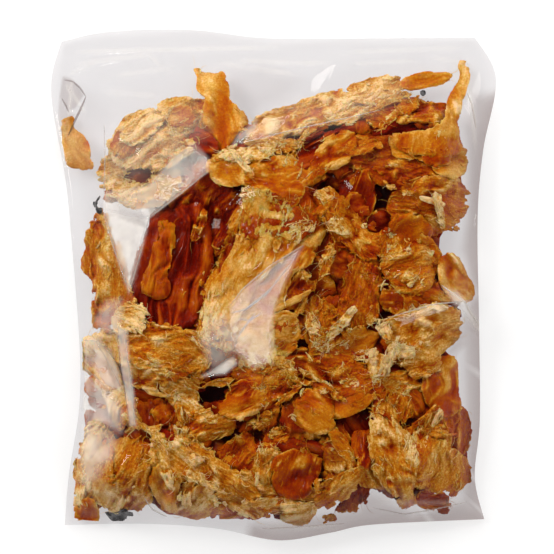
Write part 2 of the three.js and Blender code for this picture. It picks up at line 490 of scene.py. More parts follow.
# Packed flakes. Torn flakes of every kind fill the bag below the pieces that show, brown in each other's
# shade. They lie on the bed as they fell, and others lie against the film underneath.
LAYERS = 6
LAYER_PITCH = 2.8 * MM
FULL_DEPTH = 26 * MM
LEAST_DROP = 0.15
SKIN = 0.4 * MM
GAP = 0.15 * MM
LEAST_THICK = 0.15 * MM
DRAPE_ROUNDS = 40
DRAW_IN_ROUNDS = 12
DRAW_IN_STEP = 0.1
DRAW_IN_ROOM = 2.2 * MM
EDGE_ROOM = 4.0
EDGE_SLACK = 0.3
TRIM_ROUNDS = 2
RIM_MOST_MOVE = 0.6
RIM_LEAST_SLOPE = 0.05
FRAY_LEAST_SLOPE = 0.5
UNDERSIDE_LIFT = 1
LONG_WANDER = 4
SHORT_WANDER = 1.5
DRIFT = 12
SWAY = 10
LIFT_REACH = 6
CORNER_CUT = 0.22
UV_MARGIN = 1.5
UV_WALL = 1.6
SHELF_SPARE = 1.12
SEED_STEP = 1.7
RIM_AND_HIGHLIGHT_TONE = 0.18
UNDERSIDE_TONE = 0.1
RIM_SHREDS = 4
CRUMPLE_MEAN = 0.13
CRUMPLE_SPREAD = 0.3
# Length along the fibres and width across them, in millimetres, of what makes a torn piece uneven.
UNEVEN = {
    "long wander": (18, 7),
    "short wander": (9, 2.5),
    "ragged": (7, 7),
    "crumbs": (2.2, 1.6),
    "bays": (9, 8),
    "drift": (11, 11),
    "sway": (10, 10),
    "crushed": (13, 11),
    "puckers": (1.9, 1.4),
    "patches": (8, 8),
    "rim": (3, 3),
    "grit": (1.3, 1.3),
    "body": (13, 13),
    "waves": (26, 20),
    "lifts": (15, 15),
    "tones": (14, 8),
    "rim_pale_and_crest_highlight": (2, 2),
}
FILLER_SPACING = 14.0
FILLER_RADIUS = (9.0, 13.0)
FILLER_STRETCH = (1.2, 1)
FILLER_TONE_RUN = 0.1
RING_CORNERS = 7
FILLER_LEAST_ROOM = 5 * MM
UPPER_INSET = 8.0
BLACK_GAP = (196, 388, 210, 384, 226, 386, 222, 400, 208, 408, 198, 402)
# Places where only the lowest flakes lie, in photo pixels: hollows between the pieces that show, and under
# dark or thin pieces.
HOLLOWS = (
    (308, 196, 320, 178, 345, 176, 352, 190, 340, 205, 326, 190),
    (366, 194, 380, 186, 390, 192, 388, 212, 382, 236, 374, 234, 370, 214),
    (208, 436, 230, 426, 266, 432, 262, 452, 240, 446, 218, 452),
    (314, 452, 326, 446, 332, 462, 328, 482, 318, 480),
    (352, 404, 366, 400, 372, 414, 360, 424),
    (286, 340, 300, 330, 308, 344, 300, 362, 288, 358),
    (150, 222, 172, 214, 200, 204, 210, 236, 209, 282, 196, 318, 165, 331, 141, 312, 131, 286, 140, 252),
    (170, 198, 210, 166, 244, 186, 240, 218, 208, 250, 188, 224),
    (293, 142, 340, 129, 353, 121, 350, 133, 314, 161, 299, 170),
    (372, 138, 400, 116, 434, 132, 396, 148),
    (252, 446, 320, 443, 320, 470, 304, 497, 274, 489),
    (338, 420, 370, 415, 372, 452, 354, 460),
    (366, 306, 370, 284, 380, 272, 388, 286, 388, 306),
    (100, 150, 180, 150, 180, 215, 104, 212),
    (78, 338, 118, 338, 124, 440, 78, 470),
)

# Sizes of a torn piece in millimetres: mesh cell along and across the fibres, growth past the outline,
# thickness in the middle and at the edge, large wave, height, width and length of its strands, length and
# width of its folds and their height, length, width and height of its fibre wrinkles, height of its
# puckers, then crumbs, torn tongues and bays of its edge, width of the rim, lift of its edges. Then its
# changes of tone: tint of its strands, paleness of its torn rim, which also paints a highlight on its
# crests, patches, and painted shade that makes valleys deeper and crests paler; then the share of frayed
# ends, and how many shreds lie on a square millimetre.
FILLER = dict(
    cell=(2.4, 1.9), grow=0.5, thick=1.5, edge=0.4, wave=5.0, strand=0.5, pitch=2.8, length=9.0,
    size=(9.0, 4.0), fold=0.7, wrinkle=(7.0, 1.8, 0.35), pucker=0.1, crumble=4.0, tongue=1.0, bay=4.0,
    rim=2.2, lift=3.0, tint=0.06, pale=0.3, patch=0.3, painted_relief_shade=0.07, fray=0.0, shreds=0.03,
)

tops = np.full((LAYERS, *MAP_SHAPE), -1.0)
unders = np.full((LAYERS, *MAP_SHAPE), 1.0)
torn_ends = []
shred_spots = []
black_gap = on_bag(BLACK_GAP, MASS_LEVEL)


def rounded(outline):
    """The outline with its corners cut."""
    after = np.roll(outline, -1, 0)
    near, far = 1 - CORNER_CUT, CORNER_CUT
    return np.stack([near * outline + far * after, far * outline + near * after], 1).reshape(-1, 2)


def draped(push):
    """A push that the stiff piece spreads to its neighbourhood."""
    cover = push
    for _ in range(DRAPE_ROUNDS):
        wide = np.pad(cover, 1, mode="edge")
        mean = (wide[:-2, 1:-1] + wide[2:, 1:-1] + wide[1:-1, :-2] + wide[1:-1, 2:]) / 4
        cover = np.maximum(push, mean)
    return cover


def over(feature, s, t, along=0, across=0):
    """Places on a piece in units of a feature's size, shifted so that no two pieces are alike."""
    length, width = UNEVEN[feature]
    return s / length + along, t / width + across


def strands(s, t, style, seed):
    """Parallel strands broken off at different lengths: number, round, and draws of height and of tone."""
    wander = t + LONG_WANDER * (cloud(*over("long wander", s, t, 3 * seed)) - 0.5)
    wander = wander + SHORT_WANDER * (cloud(*over("short wander", s, t, seed)) - 0.5)
    place = wander / style["pitch"] + 7.3 * seed
    number = np.floor(place).astype(int)
    across = place - number
    run = s / style["length"] + 10 * lot(number, 7) + seed
    part = np.floor(run).astype(int)
    bulge = np.sqrt(np.clip(1 - (2 * across - 1) ** 2, 0, 1))
    return number, bulge, lot(3 * number + 1, 5 * part + 2), lot(7 * number, 11 * part + 3)


def ridged(x, y):
    """Noise with sharp crests, from 0 in the valleys to 1."""
    return 1 - np.abs(2 * cloud(x, y) - 1)


def crumpled(x, y):
    """Sharp crests and sharp valleys, one or two to a unit, 0 in the mean and 1 in spread."""
    return (ridged(x, y) - 0.8 * ridged(x / 0.85 + 31, y / 0.9 + 17) - CRUMPLE_MEAN) / CRUMPLE_SPREAD


def torn_grid(outline, style, seed, bounds):
    """Grid along the fibres over an outline in millimetres: places, depth inside the torn edge, kept cells,
    which points are the rim, and how the depth grows both ways."""
    low, high = outline.min(0) - EDGE_ROOM, outline.max(0) + EDGE_ROOM
    steps = [np.arange(low[k], high[k], style["cell"][k]) for k in (0, 1)]
    s, t = np.meshgrid(*steps, indexing="ij")
    edge = edge_distance(s, t, outline) + style["grow"]
    for bound, side, inset in bounds:
        edge = np.minimum(edge, side * edge_distance(s, t, bound) - inset)
    number = strands(s, t, style, seed)[0]
    ragged = eased(2.4 * cloud(*over("ragged", s, t, 11 * seed)) - 0.7)
    edge = edge + style["crumble"] * ragged * (2 * billow(*over("crumbs", s, t, 7 * seed)) - 1)
    edge = edge + style["tongue"] * ragged * (2 * lot(number, 19) - 1)
    edge = edge + style["bay"] * (2 * billow(*over("bays", s, t, 3 * seed)) - 1)
    cells = whole_cells(edge > -EDGE_SLACK * min(style["cell"]))
    for _ in range(TRIM_ROUNDS):
        wide = np.pad(cells, 1).astype(int)
        beside = wide[:-2, 1:-1] + wide[2:, 1:-1] + wide[1:-1, :-2] + wide[1:-1, 2:]
        cells = cells & (beside > 1)
    wide = np.pad(cells, 1).astype(int)
    around = wide[:-1, :-1] + wide[1:, :-1] + wide[:-1, 1:] + wide[1:, 1:]
    rim = (around > 0) & (around < 4)
    ds, dt = np.gradient(edge, *style["cell"])
    move = np.where(rim, edge / (ds * ds + dt * dt + RIM_LEAST_SLOPE), 0)
    most_along, most_across = (RIM_MOST_MOVE * cell for cell in style["cell"])
    s = s - np.clip(move * ds, -most_along, most_along)
    t = t - np.clip(move * dt, -most_across, most_across)
    return s, t, np.where(rim, 0, np.maximum(edge, 0)), cells, rim, ds, dt


def torn_relief(s, t, edge, style, seed):
    """Thickness, upper relief and bend of a torn piece over its grid, its tone with painted relief shade,
    and its paling: pale torn rim and painted crest highlight.
    """
    bulge, step, tint = strands(s, t, style, seed)[1:]
    drift = s + DRIFT * (cloud(*over("drift", s, t, seed)) - 0.5)
    sway = t + SWAY * (cloud(*over("sway", s, t, 0, 21 * seed)) - 0.5)
    crushed = 0.3 + 1.3 * eased(2.2 * cloud(*over("crushed", s, t, 2 * seed, 8)) - 0.6)
    fold = crushed * crumpled(drift / style["size"][0] + 5 * seed, sway / style["size"][1])
    length, width, height = style["wrinkle"]
    wrinkle = crumpled(drift / length, sway / width + 9 * seed)
    pucker = crushed * crumpled(*over("puckers", s, t, seed))
    patchy = eased(2.6 * cloud(*over("patches", s, t, seed, 40)) - 0.8)
    rim = 1 - eased(edge / (style["rim"] * (0.4 + 1.4 * cloud(*over("rim", s, t, 0, 2 * seed)))))
    grit = billow(*over("grit", s, t, 0, 6 * seed)) - 0.5
    body = eased(edge / (1.6 * style["rim"])) * (0.7 + 0.6 * cloud(*over("body", s, t, 0, -seed)))
    thick = style["edge"] + (style["thick"] - style["edge"]) * body
    relief = style["strand"] * (0.6 * bulge + step - 0.8) * eased(edge / 1.0 + 0.3)
    relief = relief + height * wrinkle + style["pucker"] * pucker
    relief = relief + 0.5 * style["crumble"] * grit * rim * patchy
    bend = style["wave"] * (2 * billow(*over("waves", s, t, 2 * seed)) - 1) + style["fold"] * (fold - 1)
    lift = cloud(*over("lifts", s, t, 0, 3 * seed)) - 0.35
    bend = bend + style["lift"] * (1 - eased(edge / LIFT_REACH)) * lift
    # Tone: patches and strand tints are the flesh's own; grooves between strands and fold valleys are
    # painted deeper, and raised strands and crests paler, as painted shade and light.
    tone_and_painted_shade = style["patch"] * (2 * billow(*over("tones", s, t, seed)) - 1)
    tone_and_painted_shade = tone_and_painted_shade + style["tint"] * (2 * tint - 1) - 0.12 * style["strand"] * (bulge - 0.75)
    tone_and_painted_shade = tone_and_painted_shade - style["painted_relief_shade"] * (fold + 0.5 * wrinkle + 0.4 * pucker)
    # Crests get a painted highlight that fades them toward the pale rim tone; the torn rim's paleness is
    # the flesh's own.
    crest = np.maximum(eased(fold - 0.8), 0.8 * patchy * eased(wrinkle - 0.7))
    rim_pale_and_crest_highlight = style["pale"] * np.maximum(rim * patchy, crest) * (0.6 + 0.8 * cloud(*over("rim_pale_and_crest_highlight", s, t)))
    return thick, relief, bend, tone_and_painted_shade, rim_pale_and_crest_highlight


def laid(across, up, thick, relief, bend, layer, style, kept):
    """Upper and lower heights of a piece laid in the bag among the pieces already there."""
    ceiling, ground = sampled(upper_film, across, up) - SKIN, sampled(lower_film, across, up) + SKIN
    lie = sampled(slope, across, up)
    if layer < 0:
        middle = ground + (thick + UNDERSIDE_LIFT + np.abs(bend)) * MM
    else:
        drop = (LAYERS - 1 - layer) * LAYER_PITCH
        middle = lie - drop * np.clip(lie / FULL_DEPTH, LEAST_DROP, 1) + bend * MM
    high = middle + (thick / 2 + relief) * MM
    low = middle + (-thick / 2 + 0.5 * np.minimum(relief, 0)) * MM
    if layer >= 0:
        support = np.maximum(sampled(tops[:layer + 1].max(0), across, up), ground)
        push = draped(np.where(kept, np.maximum(support + GAP - low, 0), 0))
        high, low = high + push, low + push
        roof = ceiling
        if layer < LAYERS - 1:
            roof = np.minimum(sampled(unders[layer + 1:].min(0), across, up), ceiling)
        press = draped(np.where(kept, np.maximum(high + GAP - roof, 0), 0))
        high, low = high - press, low - press
    high = np.minimum(high, ceiling)
    low = np.minimum(low, high - 0.4 * style["edge"] * MM)
    low = np.maximum(low, ground - 0.5 * SKIN)
    return np.maximum(high, low + LEAST_THICK), low


def marked(across, up, high, low, layer, kept):
    """Enters a laid piece in the maps of its layer."""
    for side in (np.floor, np.ceil):
        for end in (np.floor, np.ceil):
            i = np.clip(side((up[kept] - MAP_LOW[1]) / CELL).astype(int), 0, MAP_SHAPE[0] - 1)
            j = np.clip(end((across[kept] - MAP_LOW[0]) / CELL).astype(int), 0, MAP_SHAPE[1] - 1)
            np.maximum.at(tops[layer], (i, j), high[kept])
            np.minimum.at(unders[layer], (i, j), low[kept])


def torn_piece(outline, row, style, seed, bounds):
    """One torn piece laid in the bag: its points, faces, tones and its own flat places."""
    layer, tone_from, tone_to, lay = row
    along = np.array((math.cos(math.radians(lay)), math.sin(math.radians(lay))))
    turned = np.stack([along, (-along[1], along[0])], -1)
    centre = outline.mean(0)
    local = (outline - centre) @ turned
    local_bounds = [((bound - centre) @ turned, *way) for bound, *way in bounds]
    s, t, edge, cells, rim, ds, dt = torn_grid(local, style, seed, local_bounds)
    if not cells.any():
        return None
    thick, relief, bend, tone_and_painted_shade, rim_pale_and_crest_highlight = torn_relief(s, t, edge, style, seed)
    kept = kept_corners(cells)
    across, up = np.moveaxis((centre + np.stack([s, t], -1) @ turned.T) * MM, -1, 0)
    for _ in range(DRAW_IN_ROUNDS):
        outside = sampled(room, across, up) < DRAW_IN_ROOM
        across = np.where(outside, across + DRAW_IN_STEP * (centre[0] * MM - across), across)
        up = np.where(outside, up + DRAW_IN_STEP * (centre[1] * MM - up), up)
    high, low = laid(across, up, thick, relief, bend, layer, style, kept)
    share = (s - local[:, 0].min()) / np.ptp(local[:, 0])
    amber = np.clip(tone_from + (tone_to - tone_from) * share + tone_and_painted_shade, 0, 1)
    # Pale torn rims are the flesh's own colour; crests take the same pale tone as a painted highlight.
    amber = amber + np.minimum(RIM_AND_HIGHLIGHT_TONE - amber, 0) * np.clip(rim_pale_and_crest_highlight, 0, 1)
    if layer >= 0:
        marked(across, up, high, low, layer, kept)
        draw = np.random.default_rng(int(seed * 10)).random(s.shape)
        ends = rim & kept & (np.abs(ds) > FRAY_LEAST_SLOPE) & (draw < style["fray"])
        likely = (1 + RIM_SHREDS * rim) * style["shreds"] * style["cell"][0] * style["cell"][1]
        spots = kept & (draw < likely)
        ways = np.broadcast_to(along, (*s.shape, 2)) * -np.sign(ds)[..., None]
        round_rim = np.stack([-dt, ds], -1) @ turned.T
        found = np.concatenate([np.stack([across, up, high], -1), ways, amber[..., None]], -1)
        torn_ends.append(found[ends])
        found[..., 3:5] = np.where(rim[..., None], round_rim, ways)
        shred_spots.append(found[spots])
    points = np.concatenate([np.stack([across, up, z], -1)[kept] for z in (high, low)])
    flat = np.stack([s, t], -1)[kept]
    tones = np.concatenate([amber[kept], np.clip(amber[kept] + UNDERSIDE_TONE, 0, 1)])
    return points, closed_faces(cells, numbered(kept)), tones, flat


def shelf_places(sizes):
    """Places of rectangles on rows of a square sheet, and the sheet's side."""
    order = np.argsort([-h for w, h in sizes])
    side = max(SHELF_SPARE * math.sqrt(sum(w * h for w, h in sizes)), max(w for w, h in sizes))
    places, x, y, row = [None] * len(sizes), 0, 0, 0
    for k in order:
        w, h = sizes[k]
        if x + w > side:
            x, y, row = 0, y + row, 0
        places[k] = (x, y)
        x, row = x + w, max(row, h)
    return places, max(side, y + row)


def joined_pieces(name, rows, style, material, seed, bounds=()):
    """All pieces of one kind as one joined mesh, the lowest layers laid first."""
    points, faces, tones, lays, corners, sizes = [], [], [], [], [], []
    start = 0
    for k, (outline, *row) in enumerate(sorted(rows, key=lambda r: r[1])):
        made = torn_piece(outline, row, style, seed + SEED_STEP * k, bounds)
        if made is None:
            continue
        spots, (top, under, wall), amber, flat = made
        both = np.concatenate([flat, flat])
        low, high = flat.min(0) - UV_MARGIN, flat.max(0) + UV_MARGIN
        middle = (low + high) / 2
        spread = both.copy()
        spread[len(flat):] = middle + (flat - middle) * (1 + UV_WALL * UV_MARGIN / (high - low).max())
        for part, source in ((np.concatenate([top, wall]), spread), (under, both)):
            faces.append(part + start)
            lays.append(both[part.ravel()] + (13 * (seed + k), 7 * k))
            corners.append(source[part.ravel()] - low)
            sizes.append(tuple(high - low))
        points.append(spots)
        tones.append(amber)
        start += len(spots)
    places, side = shelf_places(sizes)
    sheet = np.concatenate([c + np.array(p) for c, p in zip(corners, places)]) / side
    maps = {"OFBake": sheet, "fibre_lay": np.concatenate(lays) / FIBRE_LAY_UNIT}
    values = {"amber": np.concatenate(tones)}
    points, faces = np.concatenate(points), np.concatenate(faces)
    mesh_object(name, points, faces, material, values, maps)


def torn_ring(draw, radius, jitter, reach):
    """Corners of a torn flake round its middle, in millimetres."""
    steps = np.arange(RING_CORNERS) + draw.uniform(0, jitter, RING_CORNERS)
    turns = steps * 2 * np.pi / RING_CORNERS
    radii = draw.uniform(*radius) * draw.uniform(*reach, RING_CORNERS)
    return np.stack([np.cos(turns), np.sin(turns)], -1) * radii[:, None]


def scattered_flakes(layers, tones, spacing, seed):
    """Rows of torn flakes on a shaken grid over the whole bag."""
    draw = np.random.default_rng(seed)
    rows = []
    low = np.array(MAP_LOW) / MM
    for x in np.arange(low[0], -low[0], spacing):
        for y in np.arange(low[1], -low[1], spacing):
            spot = np.array((x, y)) + draw.uniform(-0.5, 0.5, 2) * spacing
            ring = torn_ring(draw, FILLER_RADIUS, jitter=0.6, reach=(0.6, 1.15)) * FILLER_STRETCH
            tone, lay = draw.uniform(*tones), draw.uniform(-90, 90)
            layer = layers[draw.integers(len(layers))]
            roomy = sampled(room, *(spot * MM)[:, None])[0] > FILLER_LEAST_ROOM
            if roomy and edge_distance(spot[:1], spot[1:], fish_mass)[0] > 0:
                rows.append((rounded(spot + ring), layer, tone, tone + FILLER_TONE_RUN, lay))
    return rows


filler_flesh = flesh(
    "packed_brown_flesh", streaks=0.35, mottle=0.4, gloss=0.35, rough=0.7, glow=0.3, bump=0.6,
)
open_hole = ((black_gap, -1, 0),)
mass_bounds = ((fish_mass, 1, 0), *open_hole)
upper_bounds = [(fish_mass, 1, UPPER_INSET), *open_hole]
upper_bounds += [(on_bag(pairs, MASS_LEVEL), -1, 0) for pairs in HOLLOWS]
upper_filler = dict(FILLER, cell=(1.6, 1.2))
low_flakes = scattered_flakes((0, 1), (0.55, 0.75), 1.1 * FILLER_SPACING, seed=5)
joined_pieces("packed_flakes", low_flakes, FILLER, filler_flesh, 3.3, mass_bounds)
upper_flakes = scattered_flakes((2, 3), (0.42, 0.62), 1.1 * FILLER_SPACING, seed=7)
joined_pieces("upper_packed_flakes", upper_flakes, upper_filler, filler_flesh, 5.7, upper_bounds)
under_flakes = scattered_flakes((-1,), (0.25, 0.6), 1.35 * FILLER_SPACING, seed=6)
joined_pieces("underside_flakes", under_flakes, FILLER, filler_flesh, 9.1, mass_bounds)

# Red-brown pieces. Thick slow-dried flesh from beside the backbone, deep red-brown and half clear, in long
# bundles with amber streaks. Outlines are read off the photo, in pixels, as x and y pairs.
BUNDLE = dict(
    cell=(0.9, 0.55), grow=1.2, thick=3.4, edge=0.6, wave=3.0, strand=0.4, pitch=3.6, length=40.0,
    size=(22.0, 4.0), fold=0.9, wrinkle=(14.0, 1.2, 0.13), pucker=0.04, crumble=2.4, tongue=0.6,
    bay=2.0, rim=1.6, lift=1.5, tint=0.06, pale=0.2, patch=0.2, painted_relief_shade=0.05, fray=0.02, shreds=0.01,
)

# Each piece: layer, tone at each end, lay of the fibres in degrees, outline.
RED_PIECES = {
    "fillet": (3, 0.88, 0.86, 80, (
        150, 222, 158, 217, 166, 222, 172, 215, 185, 205, 200, 204, 206, 216, 209, 236, 211, 260,
        209, 282, 203, 302, 196, 316, 186, 329, 165, 331, 150, 327, 141, 312, 134, 300, 131, 286,
        134, 270, 140, 252, 146, 235)),
    "lump_at_mouth": (4, 0.8, 0.8, -20, (
        191, 141, 200, 129, 214, 137, 220, 148, 216, 157, 203, 153, 195, 147)),
    "dark_flap": (3, 0.78, 0.72, 20, (
        293, 142, 318, 133, 340, 129, 353, 121, 350, 133, 328, 146, 314, 161, 306, 170, 299, 170,
        296, 158)),
    "valley_right": (2, 0.82, 0.82, 15, (
        372, 138, 383, 121, 400, 116, 416, 126, 434, 132, 418, 142, 396, 148, 380, 146)),
    "gap_right": (2, 0.8, 0.8, 70, (366, 306, 370, 284, 380, 272, 388, 286, 388, 306, 376, 312)),
    "small_middle": (2, 0.76, 0.76, 0, (340, 358, 356, 350, 370, 354, 372, 370, 360, 379, 344, 374)),
    "left_of_hole": (2, 0.68, 0.68, -10, (
        131, 388, 145, 379, 168, 377, 190, 373, 186, 386, 168, 396, 164, 404, 152, 414, 137, 417,
        133, 402)),
    "window_foot": (3, 0.76, 0.76, -15, (157, 430, 168, 430, 180, 439, 170, 447, 157, 442)),
    "strip_middle": (3, 0.78, 0.76, 5, (
        252, 446, 275, 442, 300, 440, 320, 444, 324, 456, 310, 463, 290, 468, 268, 460, 254, 454)),
    "behind_lobe": (2, 0.72, 0.76, -60, (
        338, 420, 355, 413, 370, 417, 375, 434, 370, 452, 363, 466, 354, 458, 346, 440)),
    "piece_right": (3, 0.56, 0.56, -60, (396, 388, 408, 381, 419, 391, 424, 407, 415, 418, 404, 410)),
    "triangle_foot": (2, 0.86, 0.86, 20, (202, 508, 217, 493, 233, 503, 224, 513, 208, 515)),
    "amber_on_red": (4, 0.6, 0.48, 80, (
        160, 215, 173, 221, 172, 240, 170, 262, 164, 275, 169, 285, 161, 298, 145, 292, 142, 280,
        150, 268, 154, 250, 158, 234)),
}


def from_photo(table):
    """Rows of a table with the outline first, as millimetres on the bag at the piece's own level."""
    rows = []
    for layer, tone_from, tone_to, lay, pairs in table.values():
        spots = on_bag(pairs, MASS_LEVEL) * MM
        level = sampled(slope, *spots.mean(0)[:, None])[0] - (LAYERS - 1 - layer) * LAYER_PITCH
        rows.append((rounded(on_bag(pairs, level)), layer, tone_from, tone_to, lay))
    return rows


red_flesh = flesh(
    "red_brown_flesh", streaks=0.3, mottle=0.25, gloss=0.15, rough=0.35, glow=0.5, bump=0.4,
)
joined_pieces("red_pieces", from_photo(RED_PIECES), BUNDLE, red_flesh, 81.9, open_hole)

# Brown flakes. Muscle blocks torn along their fibres that lie deeper in the pile, so they look darker. They
# are craggy and matt, with torn steps and frayed ends.
FLAKE = dict(
    cell=(0.92, 0.57), grow=2.0, thick=1.3, edge=0.3, wave=4.0, strand=0.3, pitch=2.2, length=8.0,
    size=(12.0, 5.0), fold=0.8, wrinkle=(7.0, 1.0, 0.2), pucker=0.12, crumble=4.0, tongue=1.2, bay=3.0,
    rim=2.0, lift=3.0, tint=0.05, pale=0.5, patch=0.17, painted_relief_shade=0.08, fray=0.1, shreds=0.095,
)

FIBROUS = dict(streaks=0.4, mottle=0.8, gloss=0.18, rough=0.45, glow=0.5, bump=0.8)
BROWN_FLAKES = {
    "under_flap": (2, 0.77, 0.74, 60, (
        168, 197, 190, 180, 210, 164, 230, 164, 244, 184, 246, 200, 240, 218, 226, 243, 206, 252,
        196, 232, 180, 216)),
    "fibre_mass_right": (2, 0.5, 0.56, -10, (
        350, 150, 360, 139, 376, 141, 392, 139, 400, 155, 402, 166, 390, 182, 374, 184, 360, 179,
        352, 168)),
    "under_sheet_right": (3, 0.55, 0.55, -15, (
        378, 166, 400, 157, 426, 161, 446, 174, 458, 178, 454, 190, 430, 194, 408, 190, 392, 184)),
    "middle": (2, 0.66, 0.66, 75, (
        306, 250, 322, 238, 336, 233, 352, 250, 354, 272, 346, 292, 334, 302, 318, 297, 306, 280)),
    "hazel_piece": (3, 0.58, 0.58, 70, (
        309, 304, 322, 299, 333, 311, 336, 326, 328, 338, 318, 330, 310, 318)),
    "small_right": (3, 0.6, 0.6, 70, (370, 240, 386, 229, 397, 231, 402, 248, 392, 260, 378, 256)),
    "fibres_below_amber": (2, 0.74, 0.74, 25, (
        236, 414, 262, 404, 278, 396, 292, 390, 299, 402, 297, 417, 282, 427, 262, 430, 243, 428)),
    "lumps_middle": (3, 0.58, 0.62, 60, (
        216, 452, 232, 440, 248, 440, 257, 455, 252, 470, 238, 471, 226, 461)),
    "mass_foot_right": (3, 0.5, 0.5, 75, (
        438, 414, 452, 406, 464, 411, 465, 430, 465, 450, 455, 455, 443, 448, 437, 436)),
    "sliver_left": (3, 0.36, 0.36, -45, (92, 366, 101, 368, 113, 382, 122, 391, 110, 390, 100, 381)),
    "strip_at_foot": (2, 0.4, 0.4, 2, (
        186, 510, 205, 505, 226, 502, 246, 508, 264, 508, 284, 504, 290, 510, 270, 514, 240, 515,
        210, 516)),
    "mass_at_foot": (3, 0.18, 0.18, -15, (
        230, 480, 250, 473, 264, 481, 282, 489, 300, 495, 322, 488, 328, 505, 312, 511, 292, 513,
        274, 511, 256, 502, 242, 493)),
    "corner_foot": (2, 0.64, 0.64, 70, (343, 494, 358, 478, 367, 484, 362, 500, 356, 510, 343, 510)),
    "strip_foot": (3, 0.6, 0.6, -20, (
        416, 498, 426, 493, 439, 498, 448, 507, 445, 512, 435, 508, 424, 503)),
}
brown_flesh = flesh("fibrous_brown_flesh", **FIBROUS)
joined_pieces("brown_flakes", from_photo(BROWN_FLAKES), FLAKE, brown_flesh, 60.7, open_hole)

